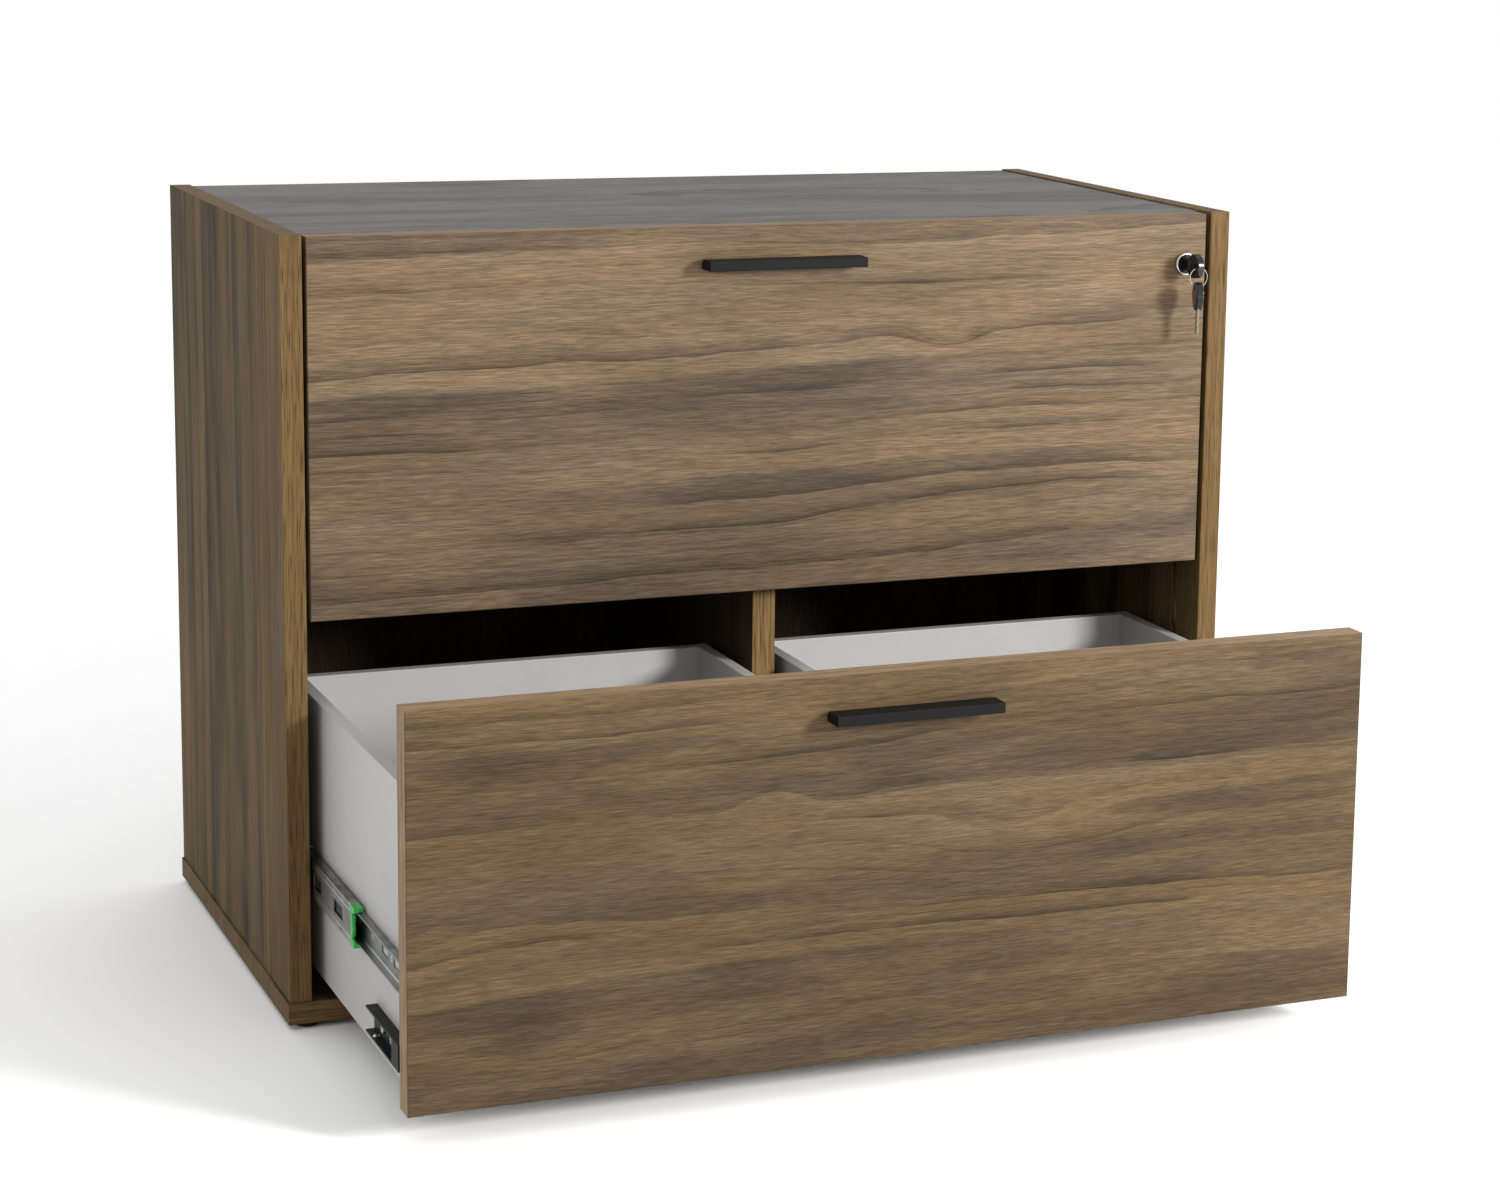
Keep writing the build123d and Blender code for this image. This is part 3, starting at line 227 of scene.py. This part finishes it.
def wood(name, along, tones, seed, slope=0.0, sweep=0.06, ripple=0.014, bands=12.0, lines=0.85, belts=(),
         swells=(), edges="", band=None, roughness=0.55, specular=0.10):
    """A printed wood laminate. along is the grain's axis, tones are its light, middle, dark and line colours.
    The grain climbs by slope, swings by sweep, wavers by ripple and changes tone in bands, counted per metre.
    belts are broad dark bands, each with its height, its half thickness and where it fades out and is full.
    swells push the grain aside, each with its place and its reach, both along and across, and its rise.
    edges names the axes of the faces that carry an edge band, whose two tones are band."""
    middle_step, warm_step = (0.38, 0.66), (0.35, 0.65, 0.94, 1.04)
    fine_line_share = 0.60
    fibre_step, thread_step = (0.36, 0.64, 0.74, 1.26), (0.36, 0.64, 0.89, 1.11)
    pore_step = (0.60, 0.72, 1.0, 0.78)
    fibre_height, pore_depth = 0.6, 0.5
    gloss_step, smoother, rougher = (0.3, 0.7), 0.06, 0.08

    g = Graph(name)
    light, middle, dark, line = tones
    x, y, z = g.split(g.place)
    u, v, w = {"x": (x, z, y), "z": (z, y, x)}[along]
    flat = g.vector(u, v, w)
    bent = bent_grain(g, flat, u, v, seed, slope, sweep, ripple, swells)
    drift = g.wander(flat, scale=(0.5, 5, 5), amount=1.6, detail=1.0, offset=(3, seed, 1))
    cloud = g.noise(flat, scale=(2.6, 16, 16), detail=3, roughness=0.6, offset=(seed, 0, 4))
    deep = tone_bands(g, flat, u, bent, drift, cloud, seed, bands, belts)
    bold, fine = dark_lines(g, flat, bent, drift, deep, seed, bands, lines)
    body = g.mix(g.fade(cloud, *middle_step), light, middle)
    body = g.mix(deep, body, dark)
    body = g.mix(fine, body, tinted(dark, fine_line_share))
    body = g.mix(bold, body, line)

    # Short fibres and open pores along the grain
    fibres = g.noise(flat, scale=(52, 1150, 1150), detail=3, roughness=0.62)
    threads = g.noise(flat, scale=(17, 430, 430), detail=2, roughness=0.55, offset=(7, 0, 3))
    pores = g.noise(flat, scale=(70, 1300, 1300), detail=1, roughness=0.5, offset=(3, 0, 1))
    warm = g.noise(flat, scale=(3.5, 30, 30), detail=2, offset=(9, seed, 2))
    value = g.product(g.fade(fibres, *fibre_step), g.fade(threads, *thread_step), g.fade(pores, *pore_step))
    colour = g.brighten(body, value, g.fade(warm, *warm_step))
    if edges:
        facing, covering = edge_band(g, (x, y, z), along, edges, band, seed)
        colour = g.mix(facing, colour, covering)
    raised = g.math("MULTIPLY", fibres, fibre_height)
    height = g.math("SUBTRACT", raised, g.math("MULTIPLY", pores, pore_depth))
    g.bump(height, distance=0.00012, strength=0.6)
    rough = g.fade(fibres, *gloss_step, roughness - smoother, roughness + rougher)
    g.finish(colour, rough, specular=specular)


def metal(name, colour, roughness, lines=(400, 6, 400), dulled=None):
    """Plated metal with the fine lines of rolling or drawing and a slightly cloudy finish.
    dulled darkens it towards the given colour in patches."""
    cloud_share, patch_step = 0.90, (0.36, 0.66)
    line_roughness, cloud_roughness, smoother = 0.12, 0.16, 0.14
    g = Graph(name)
    drawn = g.noise(g.place, lines, detail=3, roughness=0.6)
    cloud = g.noise(g.place, scale=(60, 60, 60), detail=3)
    shade = g.mix(cloud, colour, tinted(colour, cloud_share))
    if dulled:
        patches = g.noise(g.place, scale=(18, 9, 22), detail=3, roughness=0.6)
        shade = g.mix(g.fade(patches, *patch_step), shade, dulled)
    g.bump(drawn, distance=0.00003, strength=0.5)
    uneven = g.math("MULTIPLY_ADD", drawn, line_roughness, roughness - smoother)
    g.finish(shade, g.math("MULTIPLY_ADD", cloud, cloud_roughness, uneven), metallic=1.0)


def runner_steel(name, colour, dulled):
    """Rolled runner steel: plated metal with a raised bead near each edge of the web, a painted highlight
    along each bead, and darker between.
    """
    bead_place, bead_half_width, flat_half_width = 0.0118, 0.0009, 0.0006
    cloud_step, web_dark_share, bead_highlight_mix, bead_highlight_lift = (0.35, 0.68), 0.55, 0.8, 1.7
    line_height, cloud_roughness, least_roughness = 0.05, 0.16, 0.24
    low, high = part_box("lower_middle_members")
    lower_centre = (low[2] + high[2]) / 2
    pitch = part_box("upper_middle_members")[0][2] - low[2]
    g = Graph(name)
    above_centre = g.math("SUBTRACT", g.split(g.place)[2], lower_centre)
    off = g.size(g.math("WRAP", above_centre, pitch / 2, -pitch / 2))
    from_bead = g.size(g.math("SUBTRACT", off, bead_place))
    bead = g.fade(from_bead, bead_half_width, flat_half_width)
    web = g.fade(off, bead_place, bead_place - bead_half_width)
    cloud = g.noise(g.place, scale=(60, 40, 60), detail=3)
    drawn = g.noise(g.place, scale=(400, 6, 400), detail=3, roughness=0.6)
    shade = g.mix(g.fade(cloud, *cloud_step), colour, dulled)
    shade = g.mix(g.math("MULTIPLY", web, web_dark_share), shade, dulled)
    # Painted highlight: the beads are lifted towards a paler copy of the steel.
    shade = g.mix(g.math("MULTIPLY", bead, bead_highlight_mix), shade, tinted(colour, bead_highlight_lift))
    g.bump(g.math("MULTIPLY_ADD", drawn, line_height, bead), distance=0.0006, strength=0.8)
    g.finish(shade, g.math("MULTIPLY_ADD", cloud, cloud_roughness, least_roughness), metallic=1.0)


def plastic(name, colour, roughness, grain=1400, depth=0.00004, specular=0.3):
    """Moulded or coated surface with a fine even texture."""
    pale_share, pale_lift = 1.25, 0.002
    wear_roughness, smoother = 0.12, 0.06
    g = Graph(name)
    texture = g.noise(g.place, (grain, grain, grain), detail=2)
    wear = g.noise(g.place, scale=(35, 35, 35), detail=3)
    g.bump(texture, depth, strength=0.6)
    shade = g.mix(wear, colour, tinted(colour, pale_share, pale_lift))
    g.finish(shade, g.math("MULTIPLY_ADD", wear, wear_roughness, roughness - smoother), specular=specular)


def board(name, colour):
    """Melamine coated board with a faint orange peel and slight handling marks."""
    grey_share, mark_step, rough_step = 0.93, (0.35, 0.7), (0.3, 0.7, 0.40, 0.50)
    g = Graph(name)
    peel = g.noise(g.place, scale=(420, 420, 420), detail=2)
    marks = g.noise(g.place, scale=(9, 4, 6), detail=4, roughness=0.65)
    g.bump(peel, distance=0.00005, strength=0.35)
    shade = g.mix(g.fade(marks, *mark_step), colour, tinted(colour, grey_share))
    g.finish(shade, g.fade(marks, *rough_step), specular=0.3)


def lock_face(name, lacquer, chrome):
    """Lacquer over the lock's face and bare chrome on its rim and sides, told apart by distance from the axis
    and by depth."""
    rim_radius, rim_blend, face_depth = 0.0093, 0.0003, 0.004
    cloud_roughness, least_roughness = 0.10, 0.10
    low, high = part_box("lock_cylinder")
    housing_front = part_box("lock_housing")[0][1]
    g = Graph(name)
    x, y, z = g.split(g.place)
    off_x = g.math("SUBTRACT", x, (low[0] + high[0]) / 2)
    off_z = g.math("SUBTRACT", z, (low[2] + high[2]) / 2)
    radius = g.math("SQRT", g.math("ADD", g.product(off_x, off_x), g.product(off_z, off_z)))
    on_rim = g.fade(radius, rim_radius, rim_radius + rim_blend)
    on_sides = g.fade(y, housing_front + face_depth, housing_front + face_depth * 2)
    bare = g.math("MAXIMUM", on_rim, on_sides)
    cloud = g.noise(g.place, scale=(220, 220, 220), detail=2)
    ripple = g.noise(g.place, scale=(900, 900, 900), detail=2)
    g.bump(ripple, distance=0.00001, strength=0.3)
    rough = g.math("MULTIPLY_ADD", cloud, cloud_roughness, least_roughness)
    g.finish(g.mix(bare, lacquer, chrome), rough, metallic=bare)


# Tones of each laminate, light, middle, dark and line, and of each edge band, pale and dark
upper_tones = ((0.146, 0.098, 0.056), (0.112, 0.076, 0.043), (0.060, 0.044, 0.030), (0.018, 0.014, 0.009))
# The lower front's tones are a darker copy of the upper front's: painted shade.
lower_tones = ((0.103, 0.067, 0.033), (0.078, 0.051, 0.026), (0.041, 0.028, 0.017), (0.012, 0.009, 0.006))
side_tones = ((0.126, 0.081, 0.033), (0.092, 0.060, 0.025), (0.028, 0.024, 0.014), (0.010, 0.008, 0.005))
# The top's tones are lifted above the laminate's dark grey, with its specular cut low: partly its own grey,
# partly a painted sheen of the bright surround.
top_tones = ((0.135, 0.126, 0.118), (0.094, 0.088, 0.082), (0.018, 0.017, 0.016), (0.009, 0.009, 0.008))
# The inner tones are darker than the side laminate's: partly the back board's own dark brown, partly painted
# shade of the interior.
inner_tones = ((0.062, 0.041, 0.020), (0.045, 0.030, 0.015), (0.028, 0.019, 0.010), (0.014, 0.010, 0.006))
beech_tones = ((0.60, 0.42, 0.24), (0.52, 0.35, 0.19), (0.42, 0.28, 0.15), (0.30, 0.20, 0.10))
upper_band = ((0.180, 0.118, 0.064), (0.120, 0.080, 0.045))
# The lower front's edge band is a paler copy of the upper front's: painted light on its lit edges.
lower_band = ((0.252, 0.170, 0.098), (0.168, 0.113, 0.066))
side_band = ((0.122, 0.076, 0.032), (0.082, 0.051, 0.022))
divider_band = ((0.176, 0.109, 0.042), (0.114, 0.069, 0.026))

# Belts and swells of the printed grain: dark belts cross each front, and the grain swings round its knots
upper_belts = ((0.556, 0.024, 0.46, 0.05), (0.392, 0.018, 0.30, -0.30), (0.472, 0.010, -0.40, 0.10))
upper_swells = ((-0.06, 0.639, 0.022, 0.012, 0.016), (0.17, 0.601, 0.030, 0.014, -0.012),
                (-0.34, 0.655, 0.32, 0.050, 0.030), (0.30, 0.440, 0.20, 0.040, 0.020))
lower_belts = ((0.208, 0.024, -0.30, 0.34), (0.108, 0.020, 0.42, -0.10), (0.316, 0.014, 0.10, -0.36))
lower_swells = ((-0.12, 0.262, 0.026, 0.013, 0.016), (-0.30, 0.205, 0.26, 0.034, 0.030),
                (0.10, 0.215, 0.10, 0.030, -0.020), (-0.34, 0.075, 0.040, 0.014, -0.014))
side_belts = ((0.225, 0.036, 2.0, 1.0), (0.112, 0.014, 2.0, 0.1), (0.402, 0.018, 0.0, 0.7))
top_swells = ((-0.22, 0.10, 0.30, 0.10, 0.11), (0.24, 0.20, 0.26, 0.12, -0.10),
              (0.02, 0.34, 0.22, 0.09, 0.08), (0.36, 0.00, 0.16, 0.08, 0.06))

# Laminates and boards
wood("upper_front_laminate", along="x", tones=upper_tones, seed=1.7, slope=0.01, belts=upper_belts,
     swells=upper_swells, edges="xz", band=upper_band)
# The lower front wears a darker copy of the upper laminate and a paler copy of its edge band: painted shade
# and painted light.
wood("lower_front_laminate", along="x", tones=lower_tones, seed=4.3, slope=0.02, belts=lower_belts,
     swells=lower_swells, edges="xz", band=lower_band)
wood("side_laminate", along="z", tones=side_tones, seed=2.2, sweep=0.02, bands=24.0, belts=side_belts,
     edges="yz", band=side_band, specular=0.03)
wood("base_laminate", along="x", tones=side_tones, seed=6.1, sweep=0.05, edges="yx", band=side_band,
     specular=0.05)
# Low specular with lifted tones: the top's sheen is partly painted into its colour.
wood("top_laminate", along="x", tones=top_tones, seed=3.9, sweep=0.05, ripple=0.005, bands=62.0, lines=0.5,
     swells=top_swells, roughness=0.50, specular=0.02)
# The divider and the back board wear the dark inner tones, which are partly painted shade of the interior.
wood("inner_laminate", along="z", tones=inner_tones, seed=5.4, sweep=0.03, bands=16.0, lines=0.6, edges="y",
     band=divider_band)
wood("back_board", along="z", tones=inner_tones, seed=8.8, sweep=0.03, lines=0.5)
wood("beech", along="z", tones=beech_tones, seed=9.1, sweep=0.02, lines=0.3)
board("box_board", colour=(0.395, 0.390, 0.382))

# Metals
runner_steel("zinc_steel", colour=(0.34, 0.34, 0.32), dulled=(0.15, 0.152, 0.145))
metal("cage_steel", colour=(0.026, 0.028, 0.026), roughness=0.46)
metal("screw_steel", colour=(0.55, 0.55, 0.53), roughness=0.30, lines=(300, 300, 300))
metal("ball_steel", colour=(0.72, 0.72, 0.72), roughness=0.18, lines=(200, 200, 200))
metal("cam_zinc", colour=(0.50, 0.50, 0.50), roughness=0.38, lines=(300, 300, 300))
metal("ring_chrome", colour=(0.74, 0.72, 0.70), roughness=0.14, lines=(200, 200, 200))
metal("key_steel", colour=(0.30, 0.26, 0.19), roughness=0.24, lines=(900, 900, 40), dulled=(0.12, 0.10, 0.07))
lock_face("lock_lacquer", lacquer=(0.007, 0.007, 0.007), chrome=(0.62, 0.61, 0.58))

# Plastics and coatings
plastic("black_metal", colour=(0.0040, 0.0040, 0.0041), roughness=0.46, grain=2200, specular=0.08)
plastic("black_plastic", colour=(0.0050, 0.0050, 0.0050), roughness=0.42, specular=0.10)
plastic("green_plastic", colour=(0.030, 0.330, 0.060), roughness=0.34)
plastic("key_plastic", colour=(0.0050, 0.0050, 0.0055), roughness=0.20, grain=900, depth=0.00002,
        specular=0.4)
plastic("cylinder_black", colour=(0.0060, 0.0060, 0.0060), roughness=0.20, grain=900, depth=0.00002,
        specular=0.4)

finish_of = {
    "side_panel_left": "side_laminate",
    "side_panel_right": "side_laminate",
    "base_board": "base_laminate",
    "top_panel": "top_laminate",
    "centre_divider": "inner_laminate",
    "back_panel": "back_board",
    "glides": "black_plastic",
    "panel_dowels": "beech",
    "carcass_screws": "screw_steel",
    "cam_bolts": "screw_steel",
    "cam_locks": "cam_zinc",
    "cabinet_members": "zinc_steel",
    "lock_bar": "screw_steel",
    "lock_bar_guides": "black_plastic",
    "lock_housing": "lock_lacquer",
    "lock_cylinder": "cylinder_black",
    "lock_cam": "cam_zinc",
    "key_ring": "ring_chrome",
}
for key in ("key", "spare_key"):
    finish_of[f"{key}_blade"] = "key_steel"
    finish_of[f"{key}_rivet"] = "key_steel"
    finish_of[f"{key}_bow"] = "key_plastic"
for level in levels:
    finish_of[f"{level}_front"] = f"{level}_front_laminate"
    finish_of[f"{level}_handle"] = "black_metal"
    finish_of[f"{level}_front_brackets"] = "black_plastic"
    finish_of[f"{level}_end_retainers"] = "green_plastic"
    for part in ("drawer_screws", "catch"):
        finish_of[f"{level}_{part}"] = "screw_steel"
    for part in ("drawer_members", "middle_members"):
        finish_of[f"{level}_{part}"] = "zinc_steel"
    for part in ("box_backs", "box_bottoms"):
        finish_of[f"{level}_{part}"] = "box_board"
    for ring in ("outer", "inner"):
        finish_of[f"{level}_{ring}_cages"] = "cage_steel"
        finish_of[f"{level}_{ring}_balls"] = "ball_steel"
    for box in ("left", "right"):
        for wall in ("left", "right"):
            finish_of[f"{level}_{box}_box_{wall}_wall"] = "box_board"

for name, finish in finish_of.items():
    mesh = nodes[name].data
    mesh.materials.clear()
    mesh.materials.append(materials[finish])


def mesh_piece(name, shells, finish, body, node, bevel=0.0):
    """A piece made of closed shells, each its points and faces. It stands for a node and rides its body."""
    bevel_segments = 2
    points, faces = [], []
    for shell_points, shell_faces in shells:
        faces.extend(tuple(len(points) + i for i in face) for face in shell_faces)
        points.extend(tuple(point) for point in shell_points)
    mesh = bpy.data.meshes.new(name)
    mesh.from_pydata(points, [], faces)
    turned = bmesh.new()
    turned.from_mesh(mesh)
    bmesh.ops.recalc_face_normals(turned, faces=turned.faces)
    turned.to_mesh(mesh)
    turned.free()
    mesh.materials.append(materials[finish])
    piece = bpy.data.objects.new(name, mesh)
    bpy.context.scene.collection.objects.link(piece)
    if bevel:
        soften = piece.modifiers.new("soft_edges", "BEVEL")
        soften.width = bevel
        soften.segments = bevel_segments
    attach(piece, body)
    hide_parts(node)
    return piece


def prism(outline, start, end):
    """A shell from an outline of (y, z) points, between two places along X."""
    count = len(outline)
    points = [(x, y, z) for x in (start, end) for y, z in outline]
    sides = [(i, (i + 1) % count, count + (i + 1) % count, count + i) for i in range(count)]
    return points, [tuple(range(count)), tuple(range(count, count * 2)), *sides]


def tube_of_rings(rings):
    """A shell through rings of equally many points, closed by a face at each end."""
    count = len(rings[0])
    points = [point for ring in rings for point in ring]
    faces = [tuple(range(count)), tuple(range(len(points) - count, len(points)))]
    for i in range(len(rings) - 1):
        for j in range(count):
            here, beside = i * count + j, i * count + (j + 1) % count
            faces.append((here, beside, beside + count, here + count))
    return points, faces


def solids_of(node):
    """The points of each separate solid of a node, in the order of the solids' centres."""
    weld_distance, place_digits = 0.00001, 5

    def centre(points):
        return tuple(round(c, place_digits) for c in sum(points, Vector()) / len(points))

    whole = bmesh.new()
    whole.from_mesh(nodes[node].data)
    bmesh.ops.remove_doubles(whole, verts=whole.verts, dist=weld_distance)
    waiting = set(whole.verts)
    found = []
    while waiting:
        reached = [waiting.pop()]
        for vertex in reached:
            for edge in vertex.link_edges:
                other = edge.other_vert(vertex)
                if other in waiting:
                    waiting.remove(other)
                    reached.append(other)
        found.append([vertex.co.copy() for vertex in reached])
    whole.free()
    return sorted(found, key=centre)


def span(points, axis):
    """The lowest and the highest place of the points along an axis."""
    places = [point[axis] for point in points]
    return min(places), max(places)


# Green clips on the middle members' front ends: a waisted plate with a hook over each edge and a tongue.
# The outline's shares run from the front end to the back, and from the lower edge to the upper one.
clip_depth = 0.014
clip_plate = 0.0025
clip_arm = 0.004
clip_edge = 0.0004
clip_tongue_height = 0.018
clip_tongue_thickness = 0.0012
clip_tongue_start_share = 0.6
clip_tongue_search_share = 0.51
lower_hook_share = 0.2
clip_outline_shares = ((0, 1), (1, 1), (1, 0.35), (0.86, 0.05), (1, -0.35), (1, -1), (lower_hook_share, -1),
                       (lower_hook_share, -0.68), (0.60, -0.60), (0.40, -0.15), (0.54, 0.35), (0.60, 0.68),
                       (0, 0.74))


def clip(solid):
    """The shells of one clip, in the place of a plain one's solid. Its plate is on the tongue's side."""
    (left, right), (front, back), (bottom, top) = (span(solid, axis) for axis in range(3))
    centre, half_height = (bottom + top) / 2, (top - bottom) / 2
    tongue_reach = clip_tongue_height * clip_tongue_search_share
    tongue_xs = [point.x for point in solid if abs(point.z - centre) < tongue_reach]
    tongue_x = sum(tongue_xs) / len(tongue_xs)
    outer, tip = (left, right) if tongue_x < (left + right) / 2 else (right, left)
    inward = math.copysign(1, tip - outer)
    plate = outer + inward * clip_plate
    outline = [(front + y * clip_depth, centre + z * half_height) for y, z in clip_outline_shares]
    shells = [prism(outline, outer, plate)]
    far = front + clip_depth
    for up, start_share in ((1, 0.0), (-1, lower_hook_share)):
        near = front + start_share * clip_depth
        edge, inner = centre + up * half_height, centre + up * (half_height - clip_arm)
        shells.append(prism([(near, inner), (far, inner), (far, edge), (near, edge)], plate, tip))
    near = front + clip_depth * clip_tongue_start_share
    low, high = centre - clip_tongue_height / 2, centre + clip_tongue_height / 2
    tongue = outer + inward * (clip_plate + clip_tongue_thickness)
    shells.append(prism([(near, low), (back, low), (back, high), (near, high)], plate, tongue))
    return shells


for level in levels:
    shells = [shell for solid in solids_of(f"{level}_end_retainers") for shell in clip(solid)]
    mesh_piece(f"{level}_clips", shells, "green_plastic", f"{level}_middle",
               f"{level}_end_retainers", clip_edge)

# Screws: rim and recess are pairs of a depth and a size, as shares of the head's radius, like the least head.
# The point and the shank's limit are shares of the shank's radius, and the end is one of the length.
# The round and cross shares are how far each point of a ring reaches, in turn.
screw_sides = 16
screw_end_share = 0.02
screw_shank_limit_share = 1.05
screw_least_head_share = 0.5
screw_point_share = 0.35
screw_rim_shares = ((0.20, 0.97), (0.10, 1.0), (0.0, 0.86))
screw_recess_shares = ((0.0, 1.0), (0.55, 0.8))
round_shares = (1.0,)
cross_shares = (0.62, 0.24, 0.17, 0.24)


def screw(points):
    """A screw or a headless pin in the place of a solid, with a domed head and a cross recess."""
    spans = [span(points, axis) for axis in range(3)]
    lengths = [high - low for low, high in spans]
    along = lengths.index(max(lengths))
    across = [axis for axis in range(3) if axis != along]
    middle = Vector([(high + low) / 2 for low, high in spans])

    def radius(point):
        return math.hypot(*(point[axis] - middle[axis] for axis in across))

    low, high = spans[along]
    close = (high - low) * screw_end_share
    radius_low = max(radius(p) for p in points if p[along] < low + close)
    radius_high = max(radius(p) for p in points if p[along] > high - close)
    head, tip = (low, high) if radius_low > radius_high else (high, low)
    head_radius, shank_radius = max(radius_low, radius_high), min(radius_low, radius_high)
    out = math.copysign(1, head - tip)
    shank_limit = shank_radius * screw_shank_limit_share
    neck = [p[along] for p in points if abs(p[along] - tip) > close and radius(p) < shank_limit]
    neck_place = max(neck, key=lambda place: abs(place - tip)) if neck else tip
    highest_neck = (head - out * head_radius * screw_least_head_share) * out
    neck_place = min(neck_place * out, highest_neck) * out

    profile = [(tip, shank_radius * screw_point_share, round_shares),
               (tip + out * shank_radius, shank_radius, round_shares),
               (neck_place, shank_radius, round_shares)]
    for shares, shape in ((screw_rim_shares, round_shares), (screw_recess_shares, cross_shares)):
        for depth, size in shares:
            profile.append((head - out * head_radius * depth, head_radius * size, shape))
    rings = []
    for place, size, shape in profile:
        ring = []
        for i in range(screw_sides):
            angle = math.tau * i / screw_sides
            reach = size * shape[i % len(shape)]
            point = middle.copy()
            point[along] = place
            point[across[0]] += reach * math.cos(angle)
            point[across[1]] += reach * math.sin(angle)
            ring.append(point)
        rings.append(ring)
    return tube_of_rings(rings)


def screws(name, node, body):
    """Screws with cross recesses in the places of a node's solids."""
    mesh_piece(name, [screw(points) for points in solids_of(node)], "screw_steel", body, node)


screws("cabinet_screws", "carcass_screws", "cabinet")
for level in levels:
    screws(f"{level}_screws", f"{level}_drawer_screws", f"{level}_drawer")

# Split ring: two turns of wire side by side, in the place of the plain ring
wires_abreast = 2
ring_turns = 1.96
ring_steps = 144
wire_sides = 10
ring_low, ring_high = (Vector(corner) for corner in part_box("key_ring"))
ring_centre = (ring_low + ring_high) / 2
ring_axis = Vector((0.0, 1.0, 0.0))
wire_radius = (ring_high.y - ring_low.y) / wires_abreast / 2
ring_radius = (ring_high.x - ring_low.x) / 2 - wire_radius
sections = []
for i in range(ring_steps + 1):
    share = i / ring_steps
    angle = math.tau * ring_turns * share
    beside = wire_radius * (share * 2 - 1)
    outward = Vector((math.cos(angle), 0.0, math.sin(angle)))
    centre = ring_centre + outward * ring_radius + ring_axis * beside
    section = []
    for j in range(wire_sides):
        around = math.tau * j / wire_sides
        section.append(centre + (outward * math.cos(around) + ring_axis * math.sin(around)) * wire_radius)
    sections.append(section)
split_ring = mesh_piece("split_ring", [tube_of_rings(sections)], "ring_chrome", "key_ring",
                        "key_ring")
for polygon in split_ring.data.polygons:
    polygon.use_smooth = True

# Floor
floor_size = 80
floor_tones = ((0.96, 0.96, 0.96), (0.98, 0.98, 0.98))
bpy.ops.mesh.primitive_plane_add(size=floor_size)
floor = bpy.context.object
floor.name = "floor"
floor_finish = Graph("floor_finish")
speckle = floor_finish.noise(floor_finish.place, scale=(3, 3, 3), detail=3)
floor_finish.finish(floor_finish.mix(speckle, *floor_tones), roughness=0.7)
floor.data.materials.append(floor_finish.material)

# Soft light: a pale surround and a wide lamp in front on the right
surround_colour = (1.0, 1.0, 1.0, 1.0)
surround_strength = 1.05
lamp_diameter = 0.8
lamp_watts = 165.0
lamp_distance = 3.6
lamp_target = Vector((0.0, 0.0, 0.4))
lamp_direction = Vector((0.56, -0.80, 0.28)).normalized()
scene = bpy.context.scene
scene.view_settings.view_transform = "Standard"
world = bpy.data.worlds.new("surround")
world.use_nodes = True
background = world.node_tree.nodes["Background"]
background.inputs["Color"].default_value = surround_colour
background.inputs["Strength"].default_value = surround_strength
scene.world = world
lamp_data = bpy.data.lights.new("key_lamp", "AREA")
lamp_data.shape = "DISK"
lamp_data.size = lamp_diameter
lamp_data.energy = lamp_watts
lamp = bpy.data.objects.new("key_lamp", lamp_data)
scene.collection.objects.link(lamp)
lamp.location = lamp_target + lamp_direction * lamp_distance
lamp.rotation_euler = (-lamp_direction).to_track_quat("-Z", "Y").to_euler()

# Camera at the photograph's place: its angles are in radians, its centre and focal length in pixels, and its
# sensor in millimetres
image_width, image_height = 1500, 1187
focal_pixels = 3346.9
centre_pixel = (900.0, 480.0)
sensor_width = 36.0
farthest_view = 200.0
camera_place = Vector((-1.0871, -2.8961, 1.0199))
yaw, pitch, roll = 0.4039, -0.1781, 0.0178
forward = Vector((math.sin(yaw) * math.cos(pitch), math.cos(yaw) * math.cos(pitch), math.sin(pitch)))
level_right = Vector((math.cos(yaw), -math.sin(yaw), 0.0))
level_up = level_right.cross(forward)
right = level_right * math.cos(roll) + level_up * math.sin(roll)
up = level_up * math.cos(roll) - level_right * math.sin(roll)
camera_data = bpy.data.cameras.new("camera")
camera_data.sensor_width = sensor_width
camera_data.lens = focal_pixels * sensor_width / image_width
camera_data.shift_x = -(centre_pixel[0] - image_width / 2) / image_width
camera_data.shift_y = (centre_pixel[1] - image_height / 2) / image_width
camera_data.clip_end = farthest_view
camera = bpy.data.objects.new("camera", camera_data)
scene.collection.objects.link(camera)
turn = Matrix((right, up, -forward)).transposed()
camera.matrix_world = Matrix.Translation(camera_place) @ turn.to_4x4()
scene.camera = camera
